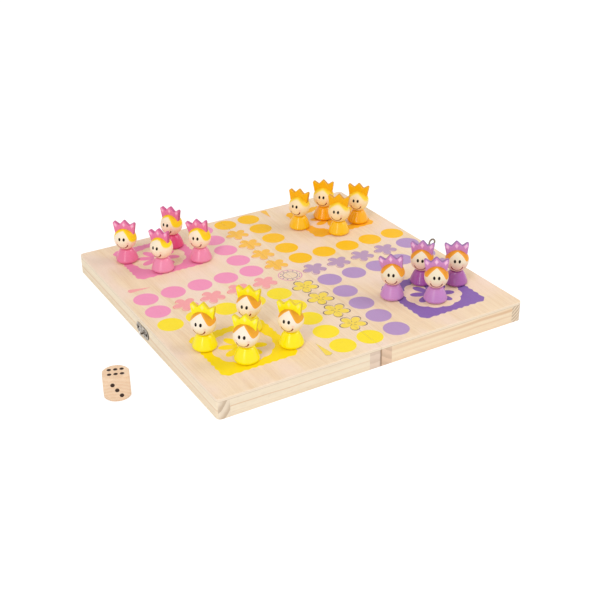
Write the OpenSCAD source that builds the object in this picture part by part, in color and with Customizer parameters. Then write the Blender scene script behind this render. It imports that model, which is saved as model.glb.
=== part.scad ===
// Folding ludo board box: two hollow wooden halves hinged along the fold, sixteen pawns and a die.
// Millimetres. The board lies open, playing face up. X runs across the fold, Y along it, +Z up.
// The origin is the middle of the fold line, at the level of the rims that the board stands on.

/* [Board] */
// Width of the open board, across the fold
board_w = 280; // [240:1:360]
// Length of the board, along the fold
board_l = 280; // [240:1:360]
// Depth of each half, from its rim to the playing face
half_h = 17.5; // [15.5:0.5:30]
// Thickness of the printed panel
panel_t = 2.5; // [2:0.1:4]
// Thickness of the frame's walls
wall_t = 10; // [9:0.5:14]
// Gap between the two halves when the board lies open
fold_gap = 0.3; // [0.2:0.1:0.8]
// Radius of the outer upright corners
corner_r = 3.5; // [1:0.5:8]
// Rounding of the panel's upper edges
edge_r = 1; // [0.4:0.1:1.5]
// How far that rounding reaches in from the fold
fold_edge_r = 0.2; // [0.1:0.1:1.5]
// Plain margin around the printed grid of 11 by 11 cells
print_margin = 3.2; // [0:0.1:8]

/* [Hinges] */
// Distance from each end of the board to the middle of a hinge
hinge_inset = 50; // [25:1:100]
// Length of each hinge
hinge_l = 20; // [16:1:30]
// Height of the leaves above the rims
leaf_h = 9; // [8:0.5:11]
// Thickness of the leaves
leaf_t = 0.6; // [0.5:0.05:0.9]
// Radius of the hinge pins
hinge_pin_r = 0.5; // [0.45:0.05:0.8]
// Thickness of the pins' flattened ends
pin_head_t = 0.4; // [0.3:0.1:0.8]
// Depth of the pin's axis under the rims, half the gap between them when shut
axis_drop = 0.1; // [0.05:0.05:0.3]
// Radius of the screws' shanks
screw_r = 0.8; // [0.6:0.1:1]
// Radius of the screws' heads
screw_head_r = 1.5; // [1.2:0.1:2]
// Length of the screws
screw_l = 7; // [5:0.5:8]
// Height of the screws above the rims
screw_z = 5.6; // [4.5:0.1:6]
// Distance from each end of a leaf to its screw
screw_inset = 4; // [3:0.5:6]

/* [Latch] */
// Place of the latch along the board's sides
latch_y = -5; // [-60:1:60]
// Thickness of the latch's sheet steel
sheet_t = 0.6; // [0.5:0.05:0.9]
// Length of the catch plate
catch_l = 24; // [20:1:40]
// Height of the catch plate
catch_h = 9.5; // [8:0.5:10]
// How far the catch plate's middle lies above the knob
catch_rise = 1.6; // [0:0.1:2]
// Distance from each end of the catch plate to its nail
catch_nail_inset = 3.6; // [3:0.1:5]
// Radius of the knob's shank
knob_r = 1.2; // [0.9:0.1:1.5]
// Radius of the knob's head
knob_head_r = 1.9; // [1.6:0.1:2.2]
// Thickness of the knob's head
knob_head_t = 1.1; // [0.8:0.1:2]
// How far the knob stands out from the wall
knob_out = 3.6; // [3.2:0.1:5]
// How deep the knob's shank goes into the wall
knob_deep = 5; // [3:0.5:7]
// Length of the tongue, from its pin to the middle of its eye
tongue_reach = 12; // [11:0.1:14]
// Width of the tongue's neck
tongue_w = 5.6; // [4:0.1:6.5]
// Width of the steel around the eye
eye_rim = 1.5; // [1.2:0.1:2]
// How far the open tongue leans out from the wall, in degrees
tongue_lean = 38; // [20:1:60]
// Length of the hasp plate
hasp_l = 16; // [15:0.5:24]
// Height of the hasp plate above its pin
hasp_h = 7; // [6:0.5:8]
// Height of the hasp's pin above the rim
hasp_z = 5.5; // [4:0.1:7]
// Length of the hasp's barrel
hasp_barrel_l = 11; // [9:0.5:14]
// Length of the tongue's own knuckle
tongue_knuckle_l = 4.6; // [3:0.1:6]
// Radius of the hasp's pin
hasp_pin_r = 0.5; // [0.4:0.05:0.8]
// Height of the hasp's nails above its pin
hasp_nail_z = 4.4; // [3.5:0.1:5]
// Distance from each end of the hasp plate to its nail
hasp_nail_inset = 2; // [1.8:0.1:2.5]
// Radius of the nails' shanks
nail_r = 0.5; // [0.4:0.05:0.8]
// Radius of the nails' heads
nail_head_r = 1.1; // [1:0.05:1.4]
// Thickness of the nails' heads
nail_head_t = 0.4; // [0.3:0.1:0.8]
// How deep the nails go into the wall
nail_deep = 7; // [4:0.5:8]

/* [Pawns] */
// Radius of a pawn's foot
foot_r = 9.9; // [8.5:0.1:10.5]
// Rounding of the foot's edge
foot_round = 2.5; // [0.5:0.1:2.5]
// Height of the turned skirt
skirt_h = 12.6; // [10:0.1:18]
// Radius of the neck
neck_r = 4.2; // [3.6:0.1:6]
// How the skirt flares: less than 1 is a dome, 1 a straight cone and more a bell
skirt_flare = 0.55; // [0.5:0.1:2.5]
// Radius of the head
ball_r = 10; // [9:0.1:12]
// Radius of the skirt's spigot inside the head
spigot_r = 2.8; // [2:0.1:3.5]
// Height of that spigot
spigot_h = 5; // [3:0.5:6]
// Thickness of the crown's board
crown_t = 4; // [3:0.1:5]
// Width of the crown where it leaves the head
crown_w = 17.2; // [14:0.1:18]
// Width of the crown across its outer points, before they are rounded
crown_tip_w = 21.2; // [16:0.1:23]
// Height of the crown's middle point above the middle of the head, before it is rounded
crown_mid_z = 17.7; // [14.5:0.1:20]
// Height of its outer points above the middle of the head, before they are rounded
crown_tip_z = 17; // [13.5:0.1:18]
// Height of its two notches above the middle of the head
crown_notch_z = 12.9; // [10:0.1:14]
// Distance between its two notches
crown_notch_w = 9; // [7:0.1:11]
// Height of the slot's floor above the middle of the head
crown_seat_z = 3; // [2:0.1:5]
// Rounding of the crown's points
crown_round = 1.3; // [0.3:0.1:1.6]

/* [Die] */
// Width of the die
die_w = 20; // [16:0.5:26]
// How much is turned off each of its corners
die_trim = 3.45; // [1:0.05:5]
// Radius of its pips
pip_r = 1.65; // [1:0.05:2]
// Depth of its pips
pip_deep = 0.5; // [0.2:0.1:0.8]
// Steps between the pips' middles, across and up a face
pip_step = [3, 4.7];
// The same on the face that shows six
six_step = [4.7, 3.25];
// Distance from the board's side to the middle of the die
die_out = 48.5; // [30:0.5:80]
// Place of the die along the board
die_y = -70.5; // [-120:0.5:120]
// How the die is turned, in degrees
die_turn = -19.2; // [-180:0.1:180]

/* [Hidden] */
$fn = 64;
LEFT = -1;
RIGHT = 1;
eps = 0.01; // what a cut runs past a face

// Clearances
pin_fit = 0.04;      // a pin in its knuckles, radially
shank_fit = 0.05;    // a screw, nail or spigot in its hole, radially
leaf_fit = 0.2;      // a leaf in its recess, and a knuckle beside its neighbour
barrel_room = 0.3;   // a barrel in the notches of the walls
pin_end_play = 0.05; // a pin's flattened end beside its barrel
barrel_off = 0.15;   // the hasp's barrel off the wall
eye_fit = 0.4;       // the eye round the knob's head, radially
slot_fit = 0.05;     // the crown in its slot
seat_lip = 0.3;      // how far the neck stands out round the head's flat

// Derived sizes of the board
half_w = (board_w - fold_gap) / 2;
frame_h = half_h - panel_t;
cell_x = (board_w - 2 * print_margin) / 11;
cell_y = (board_l - 2 * print_margin) / 11;
panel_round = min(edge_r, corner_r - 0.5, panel_t - 0.5);

// Derived sizes of the hinges and the latch
barrel_r = hinge_pin_r + pin_fit + leaf_t;
knuckle_l = hinge_l / 3;
pin_head_r = hinge_pin_r + leaf_t / 2;
hasp_barrel_r = hasp_pin_r + pin_fit + sheet_t;
hasp_off = hasp_barrel_r + barrel_off;
hasp_pin_head_r = hasp_off - sheet_t - pin_end_play;
eye_r = knob_head_r + eye_fit;
knob_z = tongue_reach - hasp_z - 2 * axis_drop;

// Derived sizes of the pawns and the die
ball_z = skirt_h + sqrt(pow(ball_r, 2) - pow(neck_r - seat_lip, 2));
die_ball_r = die_w / 2 * sqrt(3) - die_trim;
pip_ball_r = (pow(pip_r, 2) + pow(pip_deep, 2)) / (2 * pip_deep);

// Each pawn: its name, its place in cells from the middle, how it is turned and how its crown leans
PAWNS = [
    ["pink_pawn_1", -4.33, 4.20, -42, 1],
    ["pink_pawn_2", -3.54, 2.83, -59, -6],
    ["pink_pawn_3", -2.43, 4.44, -59, 0],
    ["pink_pawn_4", -2.05, 2.86, -48, -9],
    ["yellow_pawn_1", -4.63, -2.79, -50, 2.5],
    ["yellow_pawn_2", -2.93, -2.54, -50, 1.5],
    ["yellow_pawn_3", -3.87, -4.13, -47, 0.5],
    ["yellow_pawn_4", -2.27, -4.04, -52, -3.5],
    ["amber_pawn_1", 2.39, 3.41, -58, 1],
    ["amber_pawn_2", 3.65, 3.70, -45, -1],
    ["amber_pawn_3", 3.39, 2.19, -49, 0],
    ["amber_pawn_4", 4.58, 2.70, -48, 2],
    ["purple_pawn_1", 2.15, -3.11, -44, -8],
    ["purple_pawn_2", 3.25, -4.03, -36, -2],
    ["purple_pawn_3", 3.61, -2.76, -48, -1],
    ["purple_pawn_4", 4.58, -3.41, -37, -4],
];

WOOD = "burlywood";
STEEL = "lightslategray";

function pawn_colour(name) =
    name[0] == "a" ? "orange" : name[0] == "y" ? "yellow" : name[1] == "i" ? "hotpink" : "mediumpurple";

// ---- Frames of reference ----

// Puts children drawn for the right half on either side: their X runs outwards from the fold.
module on_side(side) {
    mirror([side == LEFT ? 1 : 0, 0, 0])
        translate([fold_gap / 2, 0, 0])
            children();
}

// Stands children on a half's outer face: X along the board, Y up from height z, Z outwards.
module on_outer_face(side, z) {
    on_side(side)
        translate([half_w, latch_y, z])
            rotate([90, 0, 90])
                children();
}

// Puts children at both hinges.
module at_hinges() {
    for (end = [-1, 1])
        at_hinge(end)
            children();
}

// Puts children at one hinge: -1 is the front one, 1 the back one.
module at_hinge(end) {
    translate([0, end * (board_l / 2 - hinge_inset), 0])
        children();
}

// ---- Wooden halves ----

// A half seen from above, with rounded outer corners, drawn in by inset, and by fold_inset at the fold.
module half_outline(inset = 0, fold_inset = 0) {
    r = corner_r - inset;
    far = half_w - inset;
    side = board_l / 2 - inset;
    translate([fold_inset, -side])
        square([far - r - fold_inset, 2 * side]);
    translate([far - r - eps, r - side])
        square([r + eps, 2 * (side - r)]);
    for (end = [-1, 1])
        translate([far - r, end * (side - r)])
            circle(r);
}

// The thin printed panel that covers a half, with its upper edges rounded over.
module panel(side) {
    color(WOOD)
        on_side(side)
            translate([0, 0, frame_h])
                hull()
                    for (a = [0 : 30 : 90])
                        linear_extrude(panel_t - panel_round * (1 - sin(a)))
                            half_outline(panel_round * (1 - cos(a)), fold_edge_r * (1 - cos(a)), $fn = 32);
}

// The wall farthest from the fold. It runs the board's full length.
module outer_wall(side) {
    color(WOOD)
        difference() {
            on_side(side)
                linear_extrude(frame_h)
                    intersection() {
                        half_outline();
                        translate([half_w - wall_t, -board_l])
                            square([2 * wall_t, 2 * board_l]);
                    }
            if (side == LEFT) {
                catch_nail_places()
                    nail_hole();
                catch_knob_place()
                    translate([0, 0, -knob_deep - shank_fit])
                        cylinder(h = knob_deep + 1, r = knob_r + shank_fit);
            } else {
                hasp_nail_places()
                    nail_hole();
            }
        }
}

// The wall along the fold, with a recess for each leaf and a notch for each barrel.
module fold_wall(side) {
    color(WOOD)
        difference() {
            on_side(side)
                translate([0, -board_l / 2, 0])
                    cube([wall_t, board_l, frame_h]);
            at_hinges()
                leaf_recess(side);
            at_hinges()
                barrel_notch();
            at_hinges()
                screw_places(side)
                    screw_hole();
        }
}

// A wall across the board's end, glued in between the two long walls.
module end_wall(side, end) {
    wall_l = half_w - 2 * wall_t;
    color(WOOD)
        on_side(side)
            translate([wall_t, end * (board_l - wall_t) / 2 - wall_t / 2, 0])
                cube([wall_l, wall_t, frame_h]);
}

// ---- Hinges ----

// What is cut from a fold wall so that a leaf lies flush.
module leaf_recess(side) {
    on_side(side)
        translate([-1, -hinge_l / 2 - leaf_fit, -1])
            cube([1 + leaf_t, hinge_l + 2 * leaf_fit, 1 + leaf_h + leaf_fit]);
}

// A rod along the hinge's axis, from y0 to y1.
module axis_rod(r, y0, y1) {
    translate([0, y1, -axis_drop])
        rotate([90, 0, 0])
            cylinder(h = y1 - y0, r = r);
}

// Room in the walls for a whole barrel and its pin's ends.
module barrel_notch() {
    reach = hinge_l / 2 + pin_head_t + pin_end_play + barrel_room;
    axis_rod(barrel_r + barrel_room, -reach, reach);
}

// The stretches of a barrel that belong to one side: two outer knuckles or the middle one.
function knuckle_spans(side) =
    side == LEFT
        ? [[-hinge_l / 2, -knuckle_l / 2 - leaf_fit / 2], [knuckle_l / 2 + leaf_fit / 2, hinge_l / 2]]
        : [[-knuckle_l / 2 + leaf_fit / 2, knuckle_l / 2 - leaf_fit / 2]];

// One leaf with its knuckles, pin bore and countersunk screw holes.
module hinge_leaf(side) {
    color(STEEL)
        difference() {
            union() {
                on_side(side)
                    translate([0, -hinge_l / 2, -axis_drop])
                        cube([leaf_t, hinge_l, leaf_h + axis_drop]);
                for (span = knuckle_spans(side))
                    axis_rod(barrel_r, span[0], span[1]);
            }
            for (span = knuckle_spans(-side))
                axis_rod(barrel_r + leaf_fit, span[0] - leaf_fit, span[1] + leaf_fit);
            axis_rod(hinge_pin_r + pin_fit, -hinge_l, hinge_l);
            screw_places(side)
                screw_hole();
        }
}

// A hinge pin with both ends flattened.
module hinge_pin() {
    shoulder = hinge_l / 2 + pin_end_play;
    color(STEEL) {
        axis_rod(hinge_pin_r, -shoulder, shoulder);
        for (end = [-1, 1])
            translate([0, end * (shoulder + pin_head_t / 2), 0])
                axis_rod(pin_head_r, -pin_head_t / 2, pin_head_t / 2);
    }
}

// Puts children at the two screws of one leaf, with Z running into the wall.
module screw_places(side) {
    on_side(side)
        for (end = [-1, 1])
            translate([0, end * (hinge_l / 2 - screw_inset), screw_z])
                rotate([0, 90, 0])
                    children();
}

// A countersunk screw, its head flush with the leaf.
module screw() {
    cylinder(h = leaf_t, r1 = screw_head_r, r2 = screw_r);
    translate([0, 0, leaf_t - eps])
        cylinder(h = screw_l - leaf_t, r = screw_r);
}

// The hole for a screw, through the leaf and into the wall.
module screw_hole() {
    translate([0, 0, -eps])
        cylinder(h = leaf_t + 2 * eps, r1 = screw_head_r + shank_fit, r2 = screw_r + shank_fit);
    cylinder(h = screw_l + leaf_fit, r = screw_r + shank_fit);
}

// All four screws of one half.
module hinge_screws(side) {
    color(STEEL)
        at_hinges()
            screw_places(side)
                screw();
}

// ---- Latch ----

// A nail with a flat head. Its head's underside lies at Z = sheet_t.
module nail() {
    translate([0, 0, sheet_t])
        cylinder(h = nail_head_t, r = nail_head_r);
    translate([0, 0, -nail_deep])
        cylinder(h = nail_deep + sheet_t + eps, r = nail_r);
}

// The hole for a nail, through the sheet and into the wall.
module nail_hole() {
    translate([0, 0, -nail_deep - shank_fit])
        cylinder(h = nail_deep + sheet_t + 1, r = nail_r + shank_fit);
}

module catch_nail_places() {
    on_outer_face(LEFT, knob_z + catch_rise)
        for (end = [-1, 1])
            translate([end * (catch_l / 2 - catch_nail_inset), 0, 0])
                children();
}

module catch_knob_place() {
    on_outer_face(LEFT, knob_z)
        children();
}

// The round-ended plate nailed to the left half.
module catch_plate() {
    end_r = catch_h / 2;
    color(STEEL)
        difference() {
            on_outer_face(LEFT, knob_z + catch_rise)
                linear_extrude(sheet_t) {
                    square([catch_l - 2 * end_r, catch_h], center = true);
                    for (end = [-1, 1])
                        translate([end * (catch_l / 2 - end_r), 0])
                            circle(end_r);
                }
            catch_nail_places()
                nail_hole();
            catch_knob_place()
                translate([0, 0, -1])
                    cylinder(h = sheet_t + 2, r = knob_r + shank_fit);
        }
}

module catch_nails() {
    color(STEEL)
        catch_nail_places()
            nail();
}

// The button-headed knob that the tongue's eye drops over.
module catch_knob() {
    color(STEEL)
        catch_knob_place() {
            translate([0, 0, -knob_deep])
                cylinder(h = knob_deep + knob_out - knob_head_t / 2, r = knob_r);
            translate([0, 0, knob_out - knob_head_t])
                intersection() {
                    cylinder(h = knob_head_t, r = knob_head_r);
                    translate([0, 0, knob_head_t - 2 * knob_head_r])
                        sphere(2 * knob_head_r);
                }
        }
}

// A rod along the hasp's pin, centred on it, in the outer face's frame.
module hasp_rod(r, l, x = 0) {
    translate([x - l / 2, 0, hasp_off])
        rotate([0, 90, 0])
            cylinder(h = l, r = r);
}

module hasp_nail_places() {
    on_outer_face(RIGHT, hasp_z)
        for (end = [-1, 1])
            translate([end * (hasp_l / 2 - hasp_nail_inset), hasp_nail_z, 0])
                children();
}

// The plate nailed to the right half, with the two knuckles that carry the tongue.
module hasp_plate() {
    side_l = (hasp_barrel_l - tongue_knuckle_l) / 2 - leaf_fit;
    color(STEEL)
        difference() {
            on_outer_face(RIGHT, hasp_z) {
                translate([-hasp_l / 2, 0, 0])
                    cube([hasp_l, hasp_h, sheet_t]);
                for (end = [-1, 1])
                    hasp_rod(hasp_barrel_r, side_l, end * (hasp_barrel_l - side_l) / 2);
            }
            on_outer_face(RIGHT, hasp_z) {
                hasp_rod(hasp_pin_r + pin_fit, hasp_l);
                hasp_rod(hasp_barrel_r + leaf_fit, tongue_knuckle_l + 2 * leaf_fit);
            }
            hasp_nail_places()
                nail_hole();
        }
}

module hasp_nails() {
    color(STEEL)
        hasp_nail_places()
            nail();
}

module hasp_pin() {
    shoulder = hasp_barrel_l / 2 + pin_end_play;
    color(STEEL)
        on_outer_face(RIGHT, hasp_z) {
            hasp_rod(hasp_pin_r, 2 * shoulder);
            for (end = [-1, 1])
                hasp_rod(hasp_pin_head_r, pin_head_t, end * (shoulder + pin_head_t / 2));
        }
}

// The tongue, swung up and leaning out from the wall, with the eye at its end.
module hasp_tongue() {
    color(STEEL)
        on_outer_face(RIGHT, hasp_z)
            translate([0, 0, hasp_off])
                rotate([tongue_lean, 0, 0])
                    translate([0, 0, -hasp_off])
                        difference() {
                            union() {
                                hasp_rod(hasp_barrel_r, tongue_knuckle_l);
                                translate([0, 0, hasp_off - sheet_t / 2])
                                    linear_extrude(sheet_t)
                                        tongue_outline();
                            }
                            hasp_rod(hasp_pin_r + pin_fit, hasp_l);
                        }
}

// The tongue's sheet, flat: a knuckle's width at the pin, then the neck and the ring.
module tongue_outline() {
    shoulder = hasp_barrel_r + leaf_fit + 1;
    difference() {
        union() {
            translate([-tongue_knuckle_l / 2, 0])
                square([tongue_knuckle_l, shoulder + 1]);
            translate([-tongue_w / 2, shoulder])
                square([tongue_w, tongue_reach - shoulder]);
            translate([0, tongue_reach])
                circle(eye_r + eye_rim);
        }
        translate([0, tongue_reach])
            circle(eye_r);
    }
}

// ---- Pawns ----

// Stands children on the playing face at a pawn's place, facing where it faces.
module at_pawn(pawn) {
    translate([pawn[1] * cell_x, pawn[2] * cell_y, half_h])
        rotate([0, 0, pawn[3]])
            children();
}

// Radius of the skirt at a share t of its height above the foot's rounding.
function skirt_r(t) = neck_r + (foot_r - neck_r) * pow(1 - t, skirt_flare);

// The turned skirt with its spigot.
module pawn_body(pawn) {
    steps = 10;
    round_edge = [
        for (a = [-90 : 30 : 0])
            [foot_r - foot_round * (1 - cos(a)), foot_round * (1 + sin(a))]
    ];
    flare = [
        for (i = [1 : steps])
            [skirt_r(i / steps), foot_round + (skirt_h - foot_round) * i / steps]
    ];
    spigot = [
        [spigot_r, skirt_h],
        [spigot_r, skirt_h + spigot_h],
        [0, skirt_h + spigot_h],
    ];
    color(pawn_colour(pawn[0]))
        at_pawn(pawn)
            rotate_extrude()
                polygon(concat([[0, 0]], round_edge, flare, spigot));
}

// Puts children at the middle of the head, leaning as the pawn's crown does.
module at_lean(pawn) {
    translate([0, 0, ball_z])
        rotate([0, pawn[4], 0])
            children();
}

// The ball with a flat and a hole underneath and a slot for the crown on top.
module pawn_ball(pawn) {
    difference() {
        translate([0, 0, ball_z])
            sphere(ball_r);
        translate([-ball_r, -ball_r, skirt_h - 2 * ball_r])
            cube(2 * ball_r);
        translate([0, 0, skirt_h - 1])
            cylinder(h = spigot_h + shank_fit + 1, r = spigot_r + shank_fit);
        at_lean(pawn)
            translate([-crown_w / 2, -crown_t / 2, crown_seat_z] - slot_fit * [1, 1, 1])
                cube([crown_w + 2 * slot_fit, crown_t + 2 * slot_fit, ball_r]);
    }
}

// The crown seen from the front, from the middle of the head.
module crown_outline() {
    right = [
        [crown_w / 2, crown_seat_z],
        [crown_w / 2, sqrt(pow(ball_r, 2) - pow(crown_w / 2, 2))],
        [crown_tip_w / 2, crown_tip_z],
        [crown_notch_w / 2, crown_notch_z],
    ];
    left = [for (i = [3 : -1 : 0]) [-right[i][0], right[i][1]]];
    offset(r = crown_round, $fn = 24)
        offset(delta = -crown_round)
            polygon(concat(right, [[0, crown_mid_z]], left));
}

// The three-pointed crown, a flat board let into the ball.
module pawn_crown(pawn) {
    at_lean(pawn)
        translate([0, crown_t / 2, 0])
            rotate([90, 0, 0])
                linear_extrude(crown_t)
                    crown_outline();
}

module pawn_head(pawn) {
    at_pawn(pawn) {
        color("wheat")
            pawn_ball(pawn);
        color(pawn_colour(pawn[0]))
            pawn_crown(pawn);
    }
}

// ---- Die ----

// The pips' places on a face that shows n, in steps from its middle.
function pips(n) = concat(
    n % 2 == 1 ? [[0, 0]] : [],
    n > 1 ? [[-1, 1], [1, -1]] : [],
    n > 3 ? [[1, 1], [-1, -1]] : [],
    n == 6 ? [[0, 1], [0, -1]] : []
);

// Turns that bring each face's outward direction up: 6 on top, 3 in front, opposite faces sum to 7.
FACES = [
    [6, [0, 0, 0]],
    [1, [180, 0, 0]],
    [3, [90, 0, 0]],
    [4, [-90, 0, 0]],
    [2, [0, 90, 0]],
    [5, [0, -90, 0]],
];

module die() {
    color("moccasin")
        translate([-board_w / 2 - die_out, die_y, die_w / 2])
            rotate([0, 0, die_turn])
                difference() {
                    intersection() {
                        cube(die_w, center = true);
                        sphere(die_ball_r);
                    }
                    for (face = FACES)
                        rotate(face[1])
                            for (pip = pips(face[0]))
                                translate([
                                    pip[0] * (face[0] == 6 ? six_step : pip_step)[0],
                                    pip[1] * (face[0] == 6 ? six_step : pip_step)[1],
                                    die_w / 2 + pip_ball_r - pip_deep,
                                ])
                                    sphere(pip_ball_r);
                }
}

// ---- Nodes ----

panel(LEFT);  // left_panel
outer_wall(LEFT);  // left_outer_wall
fold_wall(LEFT);  // left_fold_wall
end_wall(LEFT, -1);  // left_front_wall
end_wall(LEFT, 1);  // left_back_wall
panel(RIGHT);  // right_panel
outer_wall(RIGHT);  // right_outer_wall
fold_wall(RIGHT);  // right_fold_wall
end_wall(RIGHT, -1);  // right_front_wall
end_wall(RIGHT, 1);  // right_back_wall
at_hinge(-1) hinge_leaf(LEFT);  // front_hinge_left_leaf
at_hinge(-1) hinge_leaf(RIGHT);  // front_hinge_right_leaf
at_hinge(-1) hinge_pin();  // front_hinge_pin
at_hinge(1) hinge_leaf(LEFT);  // back_hinge_left_leaf
at_hinge(1) hinge_leaf(RIGHT);  // back_hinge_right_leaf
at_hinge(1) hinge_pin();  // back_hinge_pin
hinge_screws(LEFT);  // left_hinge_screws
hinge_screws(RIGHT);  // right_hinge_screws
catch_plate();
catch_nails();
catch_knob();
hasp_plate();
hasp_nails();
hasp_pin();
hasp_tongue();
die();
for (pawn = PAWNS) {
    pawn_body(pawn);
    pawn_head(pawn);
}
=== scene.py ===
"""Looks of a folding ludo board box with sixteen pawns and a die.

Sizes in the classes are millimetres, as in the part's source. Blender's objects are in metres,
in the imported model's frame: X across the fold, Y along it, +Z out of the playing face.
"""

import logging
import math
from dataclasses import dataclass, field
from enum import Enum

import bpy
import numpy as np
from mathutils import Matrix, Vector


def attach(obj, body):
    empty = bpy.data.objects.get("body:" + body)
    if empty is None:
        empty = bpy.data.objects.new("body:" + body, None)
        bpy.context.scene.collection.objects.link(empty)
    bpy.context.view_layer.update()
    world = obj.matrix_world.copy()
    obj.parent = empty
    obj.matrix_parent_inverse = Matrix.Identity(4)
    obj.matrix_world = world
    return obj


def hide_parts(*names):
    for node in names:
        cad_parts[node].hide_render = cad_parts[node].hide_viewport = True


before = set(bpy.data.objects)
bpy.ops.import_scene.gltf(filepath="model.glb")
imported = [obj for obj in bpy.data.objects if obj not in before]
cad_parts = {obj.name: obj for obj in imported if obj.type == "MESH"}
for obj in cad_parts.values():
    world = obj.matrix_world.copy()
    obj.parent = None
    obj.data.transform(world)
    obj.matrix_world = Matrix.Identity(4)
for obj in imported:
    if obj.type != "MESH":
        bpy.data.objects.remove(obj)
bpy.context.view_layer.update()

MM = 0.001
LOG = logging.getLogger("ludo_box")

CELL = 273.6 / 11  # one step of the track, of which eleven span the print
WALL_TOP = 15.0  # where the walls end and the panels begin
FACE_Z = 17.5  # the playing face
BALL_Z = 21.81  # the middle of a pawn's ball over its sole

Colour = tuple[float, float, float]
Band = tuple[np.ndarray, np.ndarray]


def srgb(colour: Colour) -> tuple[float, float, float, float]:
    """Turns a colour written 0 to 255, as a picture shows it, into Blender's linear one.

    Args:
        colour: Red, green and blue.

    Returns:
        The linear colour with full opacity.
    """
    parts = np.array(colour) / 255
    linear = np.where(parts <= 0.04045, parts / 12.92, ((parts + 0.055) / 1.055) ** 2.4)
    return (float(linear[0]), float(linear[1]), float(linear[2]), 1.0)


# ---- Node trees ----


class Wire:
    """A value that runs through a node tree. Sums and products with it add Math nodes."""

    def __init__(self, net: "Net", socket: bpy.types.NodeSocket) -> None:
        """Keeps the tree that the value belongs to and the socket that it comes from."""
        self.net = net
        self.socket = socket

    def __add__(self, other: "Wire | float") -> "Wire":
        """The sum of both."""
        return self.net.math("ADD", self, other)

    def __radd__(self, other: float) -> "Wire":
        """The sum of both."""
        return self.net.math("ADD", other, self)

    def __sub__(self, other: "Wire | float") -> "Wire":
        """This less the other."""
        return self.net.math("SUBTRACT", self, other)

    def __rsub__(self, other: float) -> "Wire":
        """The other less this."""
        return self.net.math("SUBTRACT", other, self)

    def __mul__(self, other: "Wire | float") -> "Wire":
        """The product of both."""
        return self.net.math("MULTIPLY", self, other)

    def __rmul__(self, other: float) -> "Wire":
        """The product of both."""
        return self.net.math("MULTIPLY", other, self)

    def __truediv__(self, other: "Wire | float") -> "Wire":
        """This shared by the other."""
        return self.net.math("DIVIDE", self, other)

    def __pow__(self, power: float) -> "Wire":
        """This raised to a power."""
        return self.net.math("POWER", self, power)

    def __abs__(self) -> "Wire":
        """This without its sign."""
        return self.net.math("ABSOLUTE", self)


Value = Wire | float | tuple


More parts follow.
